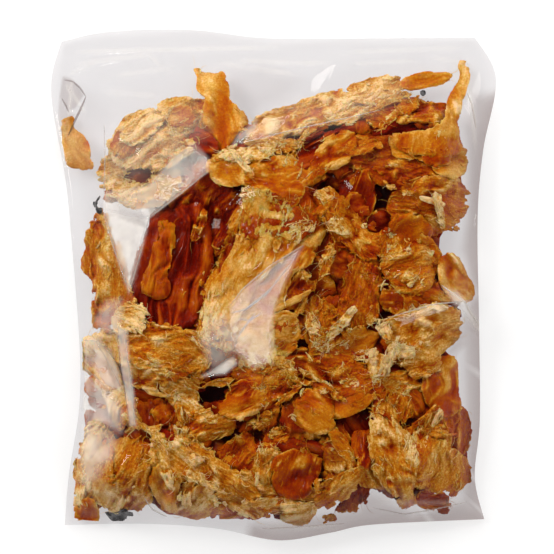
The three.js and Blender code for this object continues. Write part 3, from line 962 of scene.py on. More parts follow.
# Golden flakes. Blocks of dried muscle torn along their fibres, straw to gold, with layers broken off in
# steps and pale frayed ends.
# A gap between the fillets at the upper left that no golden flake covers, in photo pixels.
FILLET_GAP = (129, 177, 140, 166, 151, 172, 146, 178, 136, 180)
GOLDEN_FLAKES = {
    "frayed_fillet": (3, 0.02, 0.08, 25, (
        123, 123, 140, 114, 152, 115, 165, 103, 180, 99, 197, 102, 207, 101, 209, 110, 202, 128,
        193, 143, 181, 152, 166, 166, 150, 173, 130, 166, 113, 153, 117, 136)),
    "hazy_fillet": (2, 0.1, 0.12, 10, (
        104, 156, 120, 151, 150, 170, 176, 171, 180, 186, 166, 197, 142, 208, 118, 198, 104, 190,
        101, 172)),
    "mass_at_mouth": (3, 0.12, 0.16, 17, (
        243, 141, 262, 117, 290, 107, 320, 99, 345, 91, 372, 79, 401, 81, 404, 93, 386, 101, 373, 113,
        350, 119, 320, 127, 300, 135, 280, 139, 262, 145)),
    "band_at_mouth": (3, 0.4, 0.4, 5, (
        370, 119, 385, 109, 400, 102, 420, 101, 446, 106, 452, 117, 440, 120, 420, 122, 404, 120,
        390, 124, 374, 126)),
    "mass_right_edge": (3, 0.5, 0.4, -12, (
        396, 192, 425, 184, 446, 178, 460, 177, 465, 190, 467, 208, 460, 223, 446, 230, 425, 230,
        416, 217, 398, 219, 392, 206)),
    "left_leaf": (3, 0.4, 0.36, 88, (
        100, 211, 104, 215, 108, 228, 113, 245, 119, 262, 125, 278, 131, 291, 131, 303, 122, 309,
        116, 316, 112, 326, 106, 329, 97, 325, 95, 310, 94, 290, 89, 275, 85, 262, 86, 250, 89, 238,
        96, 231, 97, 221)),
    "slant_strip": (5, 0.5, 0.6, -50, (
        316, 194, 330, 190, 339, 200, 351, 212, 361, 224, 373, 240, 381, 253, 373, 260, 355, 248,
        340, 238, 329, 224, 321, 211)),
    "crag_right": (4, 0.36, 0.36, 10, (
        386, 256, 400, 249, 421, 247, 434, 258, 432, 281, 419, 290, 400, 287, 389, 276, 383, 266)),
    "mass_centre_right": (3, 0.5, 0.5, 80, (
        350, 270, 362, 260, 374, 271, 380, 284, 372, 301, 374, 316, 360, 325, 343, 328, 335, 316,
        343, 300, 346, 285)),
    "golden_crag": (4, 0.25, 0.23, 15, (
        383, 323, 400, 317, 415, 314, 436, 306, 456, 311, 465, 320, 462, 333, 453, 343, 441, 351,
        439, 363, 425, 374, 407, 370, 397, 359, 395, 345, 390, 333)),
    "broken_flake": (4, 0.3, 0.3, -8, (
        120, 333, 135, 329, 150, 325, 165, 329, 180, 331, 194, 335, 205, 344, 211, 353, 202, 363,
        189, 372, 170, 380, 150, 382, 131, 384, 123, 371, 121, 350)),
    "leaf_left_foot": (2, 0.08, 0.1, -65, (
        97, 336, 106, 331, 116, 336, 120, 350, 122, 367, 112, 364, 104, 351, 97, 344)),
    "left_edge": (2, 0.05, 0.05, -60, (
        81, 342, 92, 339, 106, 352, 114, 368, 124, 393, 118, 404, 104, 397, 94, 376, 83, 369)),
    "fibres_by_hole": (3, 0.22, 0.26, -30, (
        163, 386, 185, 377, 202, 376, 197, 390, 205, 402, 218, 412, 206, 417, 189, 412, 172, 404)),
    "piece_below_hole": (3, 0.32, 0.32, 15, (
        178, 425, 190, 414, 204, 411, 219, 415, 234, 424, 226, 434, 208, 440, 194, 437, 183, 433)),
    "strip_left_middle": (2, 0.5, 0.5, -5, (
        147, 418, 170, 414, 188, 419, 182, 434, 164, 432, 148, 427)),
    "edge_foot_left": (2, 0.2, 0.24, 80, (
        80, 465, 86, 450, 93, 464, 89, 485, 86, 505, 82, 517, 77, 506, 76, 490)),
    "long_strip": (4, 0.2, 0.27, -38, (
        148, 448, 165, 444, 186, 441, 202, 449, 217, 461, 234, 477, 250, 491, 260, 504, 264, 515,
        250, 518, 237, 510, 221, 494, 204, 484, 187, 480, 169, 472, 156, 461)),
    "coiled_piece": (4, 0.2, 0.2, 40, (
        174, 496, 183, 484, 196, 481, 209, 484, 216, 495, 214, 507, 205, 517, 192, 520, 179, 517,
        173, 507)),
    "beside_amber": (4, 0.38, 0.38, 60, (
        256, 386, 272, 379, 287, 381, 292, 388, 281, 397, 266, 404, 259, 396)),
    "bits_upper_centre": (3, 0.46, 0.46, 5, (
        242, 371, 262, 365, 277, 371, 288, 378, 273, 384, 255, 384, 241, 381)),
    "below_sheet": (3, 0.6, 0.6, -8, (
        276, 363, 295, 351, 311, 354, 326, 351, 347, 354, 352, 366, 339, 374, 320, 377, 304, 374,
        290, 372)),
    "above_orange": (3, 0.6, 0.6, -15, (
        328, 373, 345, 367, 363, 374, 377, 380, 369, 390, 350, 390, 336, 386)),
    "right_of_orange": (3, 0.5, 0.5, 30, (348, 381, 365, 374, 382, 380, 377, 393, 365, 400, 349, 394)),
    "above_point": (3, 0.44, 0.44, 70, (
        370, 403, 385, 389, 400, 384, 404, 398, 412, 413, 402, 420, 387, 410)),
    "right_of_lobe": (3, 0.42, 0.42, -60, (
        328, 426, 341, 430, 350, 445, 354, 458, 360, 471, 351, 482, 340, 492, 329, 482, 324, 466,
        328, 448)),
    "nub_foot": (4, 0.4, 0.4, 40, (
        322, 487, 340, 474, 353, 469, 358, 478, 351, 490, 340, 500, 328, 507, 315, 502)),
    "mass_foot": (3, 0.36, 0.36, 70, (
        416, 451, 430, 438, 443, 444, 456, 451, 468, 461, 470, 479, 461, 488, 456, 500, 448, 490,
        434, 490, 420, 484, 416, 468)),
    "above_slab": (3, 0.4, 0.4, 10, (
        383, 375, 400, 369, 417, 377, 424, 389, 408, 384, 395, 390, 384, 387)),
    "fringe_piece": (4, 0.46, 0.46, 60, (
        283, 279, 300, 269, 307, 271, 310, 285, 307, 299, 300, 314, 290, 307, 278, 304, 281, 290)),
    "pointed_piece": (5, 0.28, 0.3, -75, (
        373, 414, 385, 406, 397, 415, 405, 426, 411, 440, 412, 455, 413, 470, 415, 485, 415, 497,
        416, 508, 410, 510, 402, 504, 392, 492, 383, 478, 376, 463, 373, 445, 374, 428)),
    "golden_fringe": (5, 0.1, 0.6, 68, (
        240, 207, 243, 214, 240, 232, 233, 248, 226, 266, 217, 284, 216, 310, 222, 330, 232, 349,
        221, 347, 209, 342, 199, 334, 207, 305, 207, 281, 220, 262, 228, 245, 235, 225)),
    "amber_in_fillet": (4, 0.34, 0.4, 20, (167, 113, 178, 107, 190, 110, 195, 118, 188, 127, 174, 128)),
    "amber_left_in_fillet": (4, 0.3, 0.36, 60, (
        116, 146, 122, 136, 131, 132, 135, 140, 128, 150, 119, 154)),
    "upper_fringe": (5, 0.03, 0.08, 28, (
        128, 122, 140, 115, 158, 112, 170, 106, 168, 114, 160, 124, 144, 134, 130, 142, 122, 138)),
    "lower_fringe": (5, 0.05, 0.1, 15, (
        150, 160, 166, 150, 184, 142, 198, 138, 192, 148, 178, 158, 160, 168)),
    "yellow_nub": (3, 0.26, 0.3, 80, (
        258, 455, 268, 448, 280, 457, 279, 471, 271, 480, 261, 480, 255, 468)),
    "pale_olive_foot": (3, 0.1, 0.1, 0, (282, 500, 300, 503, 313, 511, 302, 520, 284, 517)),
    "beside_point": (3, 0.34, 0.34, -60, (
        364, 452, 374, 450, 384, 470, 396, 492, 386, 492, 372, 486, 362, 482, 360, 468)),
    "fillet_foot_left": (3, 0.22, 0.28, 60, (
        92, 462, 104, 449, 118, 439, 136, 437, 150, 446, 157, 458, 152, 475, 151, 490, 149, 502,
        138, 510, 120, 512, 104, 510, 94, 497, 83, 491, 81, 475)),
}
golden_flesh = flesh("fibrous_golden_flesh", **FIBROUS)
golden_bounds = (*open_hole, (on_bag(FILLET_GAP, MASS_LEVEL), -1, 0))
joined_pieces("golden_flakes", from_photo(GOLDEN_FLAKES), FLAKE, golden_flesh, 40.3, golden_bounds)

# Amber sheets. Thin translucent sheets of dried flesh that split off whole between the muscle layers:
# glossy, honey to orange, with a pale broken rim where the sheet was torn from its neighbour.
SHEET = dict(
    cell=(0.85, 0.62), grow=1.2, thick=0.9, edge=0.3, wave=5.0, strand=0.1, pitch=3.6, length=16.0,
    size=(14.0, 9.0), fold=0.75, wrinkle=(9.0, 1.6, 0.1), pucker=0.06, crumble=3.0, tongue=0.6, bay=1.8,
    rim=1.3, lift=4.0, tint=0.03, pale=0.9, patch=0.17, painted_relief_shade=0.08, fray=0.03, shreds=0.025,
)

AMBER_SHEETS = {
    "curled_flap": (5, 0.26, 0.54, -8, (
        207, 163, 222, 157, 240, 154, 262, 160, 285, 157, 298, 164, 298, 178, 304, 188, 298, 202,
        285, 205, 275, 198, 261, 190, 247, 185, 227, 186, 213, 179)),
    "curl_strip": (4, 0.57, 0.62, 45, (
        297, 196, 301, 184, 309, 174, 320, 169, 336, 166, 322, 174, 312, 180, 306, 188, 309, 200,
        317, 212, 324, 221, 316, 219, 305, 208)),
    "orange_inside": (2, 0.74, 0.78, 70, (
        338, 196, 354, 179, 362, 168, 370, 185, 374, 206, 361, 224, 349, 213)),
    "sheet_upper_right": (3, 0.36, 0.36, -10, (
        388, 141, 405, 134, 420, 133, 437, 133, 445, 123, 457, 119, 459, 140, 465, 150, 468, 158,
        465, 171, 455, 177, 440, 174, 425, 162, 408, 159, 393, 157)),
    "red_band_right": (4, 0.64, 0.6, 5, (424, 153, 440, 149, 453, 152, 449, 161, 436, 167, 425, 161)),
    "piece_right": (3, 0.54, 0.54, 20, (
        393, 219, 415, 214, 432, 228, 430, 241, 416, 247, 400, 247, 392, 233)),
    "strip_right": (3, 0.54, 0.54, -2, (
        385, 291, 405, 284, 426, 289, 432, 298, 427, 309, 410, 311, 391, 310, 380, 301)),
    "strip_to_lobe": (3, 0.46, 0.46, -55, (416, 234, 433, 241, 442, 258, 436, 275, 424, 264, 413, 251)),
    "centre_sheet": (4, 0.1, 0.58, 62, (
        245, 189, 262, 189, 280, 199, 300, 209, 322, 219, 330, 222, 321, 240, 311, 262, 301, 269,
        288, 276, 280, 300, 272, 330, 278, 345, 287, 353, 279, 364, 262, 368, 245, 364, 231, 352,
        221, 347, 209, 342, 198, 334, 204, 320, 206, 305, 205, 290, 206, 279, 219, 262, 227, 245,
        234, 225, 239, 205)),
    "piece_middle": (4, 0.44, 0.48, 25, (
        220, 401, 231, 387, 245, 380, 259, 384, 266, 398, 264, 409, 252, 414, 238, 418, 222, 414)),
    "orange_nub_foot": (3, 0.42, 0.46, 85, (
        82, 500, 92, 496, 100, 508, 99, 519, 92, 525, 82, 525, 76, 515)),
    "behind_point": (3, 0.7, 0.7, 80, (
        352, 436, 364, 430, 374, 436, 376, 452, 370, 466, 360, 464, 354, 452)),
    "lower_right": (4, 0.4, 0.4, 5, (
        343, 333, 365, 327, 380, 334, 374, 346, 367, 354, 352, 354, 338, 350)),
    "stick_by_lobe": (4, 0.42, 0.46, -55, (328, 428, 338, 430, 348, 444, 352, 456, 346, 458, 336, 446)),
    "golden_sheet": (5, 0.06, 0.48, 66, (
        252, 192, 268, 194, 284, 206, 298, 222, 300, 240, 286, 258, 270, 272, 256, 286, 246, 300,
        238, 318, 228, 334, 216, 340, 206, 334, 208, 310, 212, 288, 224, 268, 232, 250, 240, 230,
        246, 210)),
    "lobe_at_mouth": (4, 0.46, 0.48, 30, (
        316, 158, 327, 142, 345, 131, 354, 135, 351, 149, 346, 160, 335, 167, 320, 172, 306, 174,
        310, 163)),
    "yellow_lobe": (5, 0.28, 0.46, 0, (
        270, 321, 284, 311, 297, 317, 300, 335, 295, 346, 286, 354, 270, 352)),
    "hollow_piece": (3, 0.7, 0.68, 70, (
        277, 455, 300, 448, 317, 454, 320, 470, 314, 484, 304, 497, 287, 497, 272, 489, 275, 470)),
    "round_lobe": (5, 0.36, 0.42, -30, (
        293, 412, 295, 400, 305, 391, 318, 388, 330, 394, 334, 405, 330, 415, 332, 426, 322, 432,
        309, 431, 298, 426)),
    "amber_top": (5, 0.62, 0.74, 60, (
        246, 190, 262, 190, 282, 199, 304, 212, 316, 222, 308, 236, 294, 242, 280, 236, 264, 234,
        252, 240, 242, 232, 243, 208)),
}
amber_flesh = flesh(
    "smooth_amber_flesh", streaks=0.25, mottle=0.5, gloss=0.14, rough=0.35, glow=0.6, bump=0.4,
)
joined_pieces("amber_sheets", from_photo(AMBER_SHEETS), SHEET, amber_flesh, 3.1, open_hole)

# Smooth leaves. Amber sheets that split off clean, with round whole edges. The largest stand up out of the
# pile at the mouth, and a slab of the same kind lies at the right edge.
LEAF = dict(
    SHEET, grow=0.6, thick=1.0, strand=0.05, wrinkle=(12.0, 3.0, 0.15), crumble=1.4, tongue=0.3,
    bay=0.8, fold=0.6, lift=2.0, patch=0.2, painted_relief_shade=0.06, shreds=0.012,
)
SMOOTH_LEAVES = {
    "leaf_at_mouth": (3, 0.37, 0.36, 6, (
        399, 84, 408, 77, 420, 73, 436, 73, 452, 74, 446, 82, 432, 87, 415, 90, 402, 90)),
    "lobe_right_edge": (3, 0.34, 0.32, -50, (
        438, 258, 450, 253, 461, 261, 465, 274, 474, 284, 474, 298, 462, 302, 449, 297, 440, 286,
        436, 272)),
    "corner": (2, 0.22, 0.24, 100, (
        65, 118, 74, 115, 73, 130, 83, 134, 89, 145, 92, 158, 95, 170, 80, 169, 69, 166, 62, 158,
        63, 140, 63, 128)),
    "upstanding_flap": (3, 0.46, 0.14, 105, (
        194, 66, 203, 71, 217, 72, 221, 71, 225, 80, 228, 92, 233, 103, 243, 113, 248, 122, 238, 134,
        228, 150, 212, 150, 204, 128, 203, 117, 205, 107, 207, 97, 203, 95, 198, 90, 198, 82, 197, 73)),
    "leaf_at_corner": (4, 0.46, 0.14, 75, (
        463, 57, 469, 63, 472, 75, 466, 88, 462, 100, 459, 113, 457, 125, 458, 142, 463, 150, 452, 156,
        438, 158, 424, 156, 407, 155, 396, 150, 391, 138, 405, 133, 425, 133, 438, 126, 446, 116,
        449, 100, 454, 88, 462, 79, 464, 70, 461, 63)),
    "slab_right": (3, 0.58, 0.56, 80, (
        430, 361, 440, 357, 453, 357, 457, 362, 458, 378, 459, 395, 462, 407, 455, 415, 445, 417,
        432, 408, 424, 398, 420, 383, 424, 372)),
    "orange_piece": (4, 0.52, 0.54, 10, (
        312, 394, 330, 384, 346, 389, 361, 391, 374, 398, 366, 407, 350, 414, 335, 417, 320, 420)),
    "flap_foot": (4, 0.3, 0.36, 100, (
        156, 464, 168, 466, 182, 474, 178, 490, 174, 503, 178, 516, 165, 514, 155, 499, 150, 480)),
}
leaf_flesh = flesh(
    "clear_amber_flesh", streaks=0.18, mottle=0.5, gloss=0.2, rough=0.3, glow=0.65, bump=0.3,
)
joined_pieces("smooth_leaves", from_photo(SMOOTH_LEAVES), LEAF, leaf_flesh, 23.6, open_hole)

# Pale tufts and chips. Broken muscle ends where the flesh dried white and opaque: straw to cream, crumbly,
# lying loose on the other pieces or still hanging on their rims.
TUFT = dict(
    cell=(0.6, 0.42), grow=0.4, thick=1.4, edge=0.4, wave=2.0, strand=0.3, pitch=1.6, length=5.0,
    size=(6.0, 3.0), fold=0.6, wrinkle=(5.0, 0.9, 0.2), pucker=0.2, crumble=4.0, tongue=1.2, bay=2.5,
    rim=1.6, lift=2.4, tint=0.06, pale=0.0, patch=0.35, painted_relief_shade=0.08, fray=0.14, shreds=0.16,
)

PALE_TUFTS = {
    "run_over_flap": (5, 0.12, 0.17, 12, (
        213, 153, 235, 147, 255, 145, 275, 137, 298, 141, 292, 151, 272, 157, 258, 164, 242, 162,
        230, 159, 219, 161)),
    "foot": (2, 0.08, 0.08, 60, (
        83, 425, 100, 418, 113, 431, 121, 438, 106, 451, 95, 462, 84, 472, 80, 450)),
    "tuft_left": (5, 0.0, 0.02, -20, (
        116, 309, 129, 302, 142, 307, 148, 320, 142, 334, 128, 334, 115, 335, 111, 320)),
    "tuft_foot_left": (4, 0.05, 0.05, 55, (
        108, 393, 120, 387, 129, 395, 137, 410, 140, 425, 128, 432, 117, 430, 108, 419, 105, 405)),
    "chip_right": (5, 0.15, 0.15, 70, (367, 356, 376, 348, 384, 360, 386, 372, 376, 384, 368, 375)),
    "edge_middle": (4, 0.28, 0.28, -65, (
        306, 312, 312, 313, 321, 329, 328, 345, 332, 354, 320, 352, 313, 341, 308, 328)),
    "frayed_nub": (4, 0.41, 0.41, 40, (323, 332, 335, 328, 344, 338, 342, 349, 330, 352, 320, 346)),
    "chip_by_crag": (5, 0.16, 0.16, -70, (376, 325, 388, 322, 396, 335, 398, 348, 388, 344, 378, 336)),
    "sliver_right": (4, 0.23, 0.23, 65, (426, 419, 431, 407, 438, 402, 443, 412, 437, 424, 427, 430)),
    "small_sliver": (5, 0.17, 0.17, 80, (413, 430, 420, 426, 426, 435, 424, 447, 417, 450)),
    "splinter": (3, 0.3, 0.3, 25, (241, 425, 255, 415, 268, 408, 274, 414, 262, 422, 250, 428)),
    "patch_on_strip": (5, 0.13, 0.13, -50, (316, 193, 326, 189, 334, 198, 328, 206, 319, 203)),
    "second_patch": (5, 0.13, 0.13, 10, (330, 223, 340, 221, 347, 229, 339, 234, 331, 231)),
    "lip_on_point": (5, 0.15, 0.15, 80, (407, 439, 415, 441, 415, 456, 406, 460, 410, 450)),
    "chips_on_crag": (5, 0.1, 0.1, 0, (394, 347, 405, 344, 416, 349, 413, 359, 401, 360)),
    "chips_in_hollow": (4, 0.5, 0.5, 10, (265, 432, 278, 427, 290, 434, 287, 443, 274, 443)),
    "bits_foot": (4, 0.13, 0.13, 10, (151, 429, 159, 426, 163, 434, 156, 438)),
    "on_coil": (5, 0.13, 0.13, 75, (180, 490, 187, 489, 192, 500, 186, 507, 180, 502)),
    "by_triangle": (4, 0.13, 0.13, 20, (216, 494, 224, 490, 232, 498, 224, 502)),
    "bit_at_foot": (3, 0.36, 0.36, 20, (322, 515, 332, 512, 337, 518, 332, 523, 324, 522)),
    "crescent_on_red": (5, 0.34, 0.34, 70, (
        203, 210, 206, 220, 202, 231, 194, 240, 188, 239, 194, 231, 198, 221, 199, 212)),
}
pale_flesh = flesh(
    "pale_torn_flesh", streaks=0.5, mottle=0.7, gloss=0.4, rough=0.8, glow=0.4, bump=0.7,
)
joined_pieces("pale_tufts", from_photo(PALE_TUFTS), TUFT, pale_flesh, 120.5)

# Sticks. Single strands of muscle, dried hard and straight. They lie loose on top of the pile, paler than
# what is under them.
STICK = dict(
    cell=(0.7, 0.42), grow=0.1, thick=1.8, edge=0.7, wave=1.2, strand=0.4, pitch=1.2, length=12.0,
    size=(8.0, 2.4), fold=0.3, wrinkle=(6.0, 0.9, 0.12), pucker=0.05, crumble=1.0, tongue=0.3, bay=0.5,
    rim=0.8, lift=0.3, tint=0.06, pale=0.2, patch=0.2, painted_relief_shade=0.05, fray=0.1, shreds=0.02,
)

STICKS = {
    "right": (5, 0.14, 0.14, -12, (419, 196, 432, 198, 446, 203, 445, 206, 432, 204, 420, 200)),
    "left": (5, 0.14, 0.14, -15, (142, 388, 150, 388, 166, 394, 173, 399, 160, 399, 147, 394)),
    "middle": (5, 0.26, 0.26, 27, (272, 308, 292, 298, 311, 288, 313, 292, 294, 304, 275, 313)),
}
stick_flesh = flesh(
    "dried_strand", streaks=0.3, mottle=0.2, gloss=0.4, rough=0.7, glow=0.2, bump=0.4,
)
joined_pieces("sticks", from_photo(STICKS), STICK, stick_flesh, 150.2)

# Skin scraps. Curls and specks of the fish's dark grey skin, dull and silvery. The largest lies at the foot
# of the bag.
SKIN_STYLE = dict(
    cell=(0.4, 0.35), grow=0.2, thick=0.9, edge=0.4, wave=2.4, strand=0.1, pitch=1.5, length=9.0,
    size=(5.0, 4.0), fold=0.8, wrinkle=(4.0, 2.0, 0.1), pucker=0.05, crumble=1.6, tongue=0.4, bay=0.8,
    rim=1.0, lift=1.5, tint=0.0, pale=0.0, patch=0.0, painted_relief_shade=0.0, fray=0.0, shreds=0.0,
)
SKIN_SCRAPS = {
    "curl_left": (3, 0.5, 0.5, 90, (
        102, 194, 97, 198, 94, 203, 95, 208, 99, 212, 103, 212, 98, 207, 97, 203, 101, 197)),
    "speck_at_mouth": (5, 0.5, 0.5, 0, (420, 92, 424, 90, 426, 93, 423, 96)),
    "foot": (3, 0.5, 0.5, 0, (
        103, 511, 115, 512, 125, 508, 133, 512, 126, 519, 119, 524, 113, 523, 107, 518)),
}
SKIN_TONES = ((0.42, (0.018, 0.017, 0.018)), (0.7, (0.22, 0.21, 0.21)))
SKIN_ROUGHNESS = 0.45
BLOOM_NOISE = {"Scale": 420.0, "Detail": 5.0}


def fish_skin():
    """Dark skin with a paler silvery bloom."""
    material = bpy.data.materials.new("dark_fish_skin")
    material.use_nodes = True
    nodes, links = material.node_tree.nodes, material.node_tree.links
    place = nodes.new("ShaderNodeTexCoord")
    bloom = nodes.new("ShaderNodeTexNoise")
    set_sockets(bloom, BLOOM_NOISE)
    links.new(place.outputs["Object"], bloom.inputs["Vector"])
    ramp = nodes.new("ShaderNodeValToRGB")
    set_tones(ramp, SKIN_TONES)
    links.new(bloom.outputs["Fac"], ramp.inputs["Fac"])
    body = nodes["Principled BSDF"]
    links.new(ramp.outputs["Color"], body.inputs["Base Color"])
    body.inputs["Roughness"].default_value = SKIN_ROUGHNESS
    return material


joined_pieces("skin_scraps", from_photo(SKIN_SCRAPS), SKIN_STYLE, fish_skin(), 170.4)

# Strips, small flakes and crumbs. Bits broken off the larger pieces, strewn over them as they rubbed
# together: of the same flesh and about the same lay as what they lie on.
SMALL = dict(
    cell=(0.6, 0.42), grow=0.0, thick=1.1, edge=0.35, wave=2.5, strand=0.25, pitch=1.8, length=6.0,
    size=(5.0, 3.2), fold=0.8, wrinkle=(4.0, 1.0, 0.18), pucker=0.12, crumble=3.0, tongue=0.9, bay=2.5,
    rim=1.5, lift=3.0, tint=0.05, pale=0.4, patch=0.2, painted_relief_shade=0.06, fray=0.1, shreds=0.17,
)
STRIP = dict(SMALL, cell=(0.8, 0.5), thick=0.7, fold=0.6, crumble=3.0, bay=1.6, pale=0.35, shreds=0.1)
CRUMB = dict(SMALL, cell=(0.5, 0.4), crumble=1.2, bay=0.6, fold=0.3, wave=0.5, lift=0.5, thick=0.8)
SHRED_BURIED = 0.8 * MM
STREWN_INSET = 6.0
STREWN_DEEPEST = 0.68
STREWN_TURN = 0.6
STREWN_TINT = 0.08


def unburied(found):
    """The places, out of lists of rows, that are not far under the top of the pile."""
    rows = np.concatenate(found)
    return rows[rows[:, 2] > sampled(tops.max(0), rows[:, 0], rows[:, 1]) - SHRED_BURIED]


def strewn_flakes(share, radius, stretch, paler, seed):
    """Rows of small flakes at a share of the places that the larger pieces gave for shreds."""
    draw = np.random.default_rng(seed)
    found = unburied(shred_spots)
    inner = edge_distance(found[:, 0] / MM, found[:, 1] / MM, fish_mass) > STREWN_INSET
    found = found[inner & (found[:, 5] < STREWN_DEEPEST)]
    rows = []
    for x, y, _, way_x, way_y, amber in found[draw.random(len(found)) < share]:
        lay = math.atan2(way_y, way_x) + draw.normal(0, STREWN_TURN)
        ring = torn_ring(draw, radius, jitter=0.7, reach=(0.6, 1.2)) * stretch
        turned = np.array(((math.cos(lay), math.sin(lay)), (-math.sin(lay), math.cos(lay))))
        outline = rounded(np.array((x, y)) / MM + ring @ turned)
        tone = amber - paler + draw.normal(0, STREWN_TINT)
        rows.append((outline, LAYERS - 1, tone, tone, math.degrees(lay)))
    return rows


clear_places = upper_bounds[1:]
strips = strewn_flakes(share=0.026, radius=(3.0, 8.0), stretch=(2.2, 0.45), paler=-0.02, seed=53)
joined_pieces("torn_strips", strips, STRIP, golden_flesh, 260.3, clear_places)
small = strewn_flakes(share=0.02, radius=(1.5, 5.0), stretch=(1.5, 0.8), paler=0.0, seed=41)
joined_pieces("small_flakes", small, SMALL, golden_flesh, 200.6, clear_places)
crumbs = strewn_flakes(share=0.09, radius=(0.5, 1.2), stretch=(1.5, 0.8), paler=0.08, seed=43)
joined_pieces("crumbs", crumbs, CRUMB, golden_flesh, 230.9, open_hole)

# Shreds. Thin curled layers of muscle that stand out of the flakes and hang along their torn rims. They are
# half clear and a few millimetres long, with a pale free edge.
SHRED_POINTS = 7
SHRED_LENGTH = (1.5, 6.0)
SHRED_WIDTH = (0.35, 1.2)
SHRED_THICK = (0.15, 0.35)
SHRED_MOST_GAP = 1.6 * MM
SHRED_MOST_TILT = 0.7
SHRED_TURN = 0.45
SHRED_CURVE = 0.6
SHRED_ROLL = 0.5
SHRED_TWIST = 0.5
SHRED_MOST_ROLL = 1.3
SHRED_BOW = 0.25
SHRED_UNEVEN = (0.7, 1.2)
SHRED_FULL_LENGTH = 4 * MM
SHRED_STAND = 0.7
SHRED_TINT = 0.09
SHRED_END_PALER = 0.06
SHRED_EDGE_PALER = 0.08
SHRED_TONES = (0.02, 0.9)
STRIP_CELL = (0.06, 0.94)
STRIP_LAY = (40, 12)

pile = tops.max(0)


def strip_sheet(count, points, sides):
    """Bake places of long strips, each in its own cell of a square sheet."""
    across = math.ceil(math.sqrt(count))
    k = np.arange(count)[:, None, None]
    u = np.linspace(*STRIP_CELL, points)[None, :, None]
    v = np.linspace(*STRIP_CELL, sides + 1)[None, None, :]
    place = np.broadcast_arrays((k % across + u + 0 * v) / across, (k // across + v + 0 * u) / across)
    return np.stack(place, -1).reshape(-1, 2)


def strip_faces(count, points, sides):
    """Faces of closed strips of rings, and the bake places of their corners."""
    k, i, a = np.meshgrid(np.arange(count), np.arange(points - 1), np.arange(sides), indexing="ij")
    ring = (k * points + i) * sides
    b = (a + 1) % sides
    faces = np.stack([ring + a, ring + sides + a, ring + sides + b, ring + b], -1).reshape(-1, 4)
    near = (k * points + i) * (sides + 1) + a
    far = near + sides + 1
    corners = np.stack([near, far, far + 1, near + 1], -1).ravel()
    return faces, strip_sheet(count, points, sides)[corners]


def shred_paths(rows, draw):
    """Middle lines of the shreds, their bearing, the height they lie at and which of them lie well."""
    count = len(rows)
    share = np.linspace(0, 1, SHRED_POINTS)[None, :]
    length = (SHRED_LENGTH[0] + np.ptp(SHRED_LENGTH) * draw.random(count) ** 2)[:, None] * MM
    turn = np.arctan2(rows[:, 4], rows[:, 3]) + draw.normal(0, SHRED_TURN, count)
    bearing = turn[:, None] + draw.normal(0, SHRED_CURVE, count)[:, None] * (share - 0.5)
    x = rows[:, :1] + np.cos(bearing) * length * (share - 0.5)
    y = rows[:, 1:2] + np.sin(bearing) * length * (share - 0.5)
    crest = sampled(pile, x, y)
    chord = crest[:, :1] + (crest[:, -1:] - crest[:, :1]) * share
    gap = (crest - chord).max(1)
    tilt = np.abs(crest[:, -1] - crest[:, 0]) / length[:, 0]
    good = (gap < SHRED_MOST_GAP) & (tilt < SHRED_MOST_TILT) & (crest.min(1) > 0)
    return x, y, bearing, 0.5 * (crest + chord), length, good


def shreds():
    """All shreds as one joined mesh: rings of a free edge, the back, the other edge and the underside."""
    rows = unburied(shred_spots)
    draw = np.random.default_rng(31)
    x, y, bearing, lie, length, good = shred_paths(rows, draw)
    rows, x, y, bearing, lie, length = (part[good] for part in (rows, x, y, bearing, lie, length))
    count = len(rows)
    share = np.linspace(0, 1, SHRED_POINTS)[None, :]
    thick = draw.uniform(*SHRED_THICK, count)[:, None] * MM / 2
    width = draw.uniform(*SHRED_WIDTH, count)[:, None] * np.minimum(1, length / SHRED_FULL_LENGTH) * MM / 2
    uneven = draw.uniform(*SHRED_UNEVEN, (count, SHRED_POINTS))
    halves = width * np.sin(np.pi * (0.07 + 0.86 * share)) ** 0.6 * uneven
    roll = draw.normal(0, SHRED_ROLL, count)[:, None]
    roll = roll + draw.normal(0, SHRED_TWIST, count)[:, None] * (share - 0.5)
    roll = np.clip(roll, -SHRED_MOST_ROLL, SHRED_MOST_ROLL)
    stand = halves * np.abs(np.sin(roll))
    bow = SHRED_BOW * draw.random(count)[:, None] * np.sin(np.pi * share) * MM
    z = np.minimum(lie + SHRED_STAND * stand + bow, sampled(upper_film, x, y) - SKIN - stand - thick)
    side = np.stack([-np.sin(bearing) * np.cos(roll), np.cos(bearing) * np.cos(roll), np.sin(roll)], -1)
    lift = np.stack([np.sin(bearing) * np.sin(roll), -np.cos(bearing) * np.sin(roll), np.cos(roll)], -1)
    paths = np.stack([x, y, z], -1)
    rings = [paths + side * halves[..., None], paths + lift * thick[..., None],
             paths - side * halves[..., None], paths - lift * thick[..., None]]
    points = np.stack(rings, 2).reshape(-1, 3)
    faces, sheet = strip_faces(count, SHRED_POINTS, len(rings))
    tone = rows[:, 5:6] + draw.normal(0, SHRED_TINT, (count, 1))
    tone = tone - SHRED_END_PALER * np.abs(2 * share - 1) ** 3
    paler = SHRED_EDGE_PALER * np.sin(roll)
    amber = np.stack([tone - paler, tone, tone + paler, tone], -1)
    maps = {"OFBake": sheet, "fibre_lay": sheet * STRIP_LAY}
    values = {"amber": np.clip(amber, *SHRED_TONES).ravel()}
    mesh_object("shreds", points, faces, golden_flesh, values, maps)


shreds()

# Loose fibres. Single muscle fibres that curl off the torn ends of the flakes, pale and dry. Each is a thin
# tube, thinnest at its free end.
FIBRE_POINTS = 6
FIBRE_SIDES = 3
FIBRE_RADIUS = (0.06, 0.13)
FIBRE_LENGTH = (2.0, 7.0)
FIBRE_TURN = 0.5
FIBRE_CURL = 1.1
FIBRE_RISE = 0.3
FIBRE_STAND = 0.12 * MM
FIBRE_TAPER = 0.7
FIBRE_PALER = 0.12
FIBRE_DEEPEST = 0.5
FIBRE_LEAST_ROOM = 3 * MM


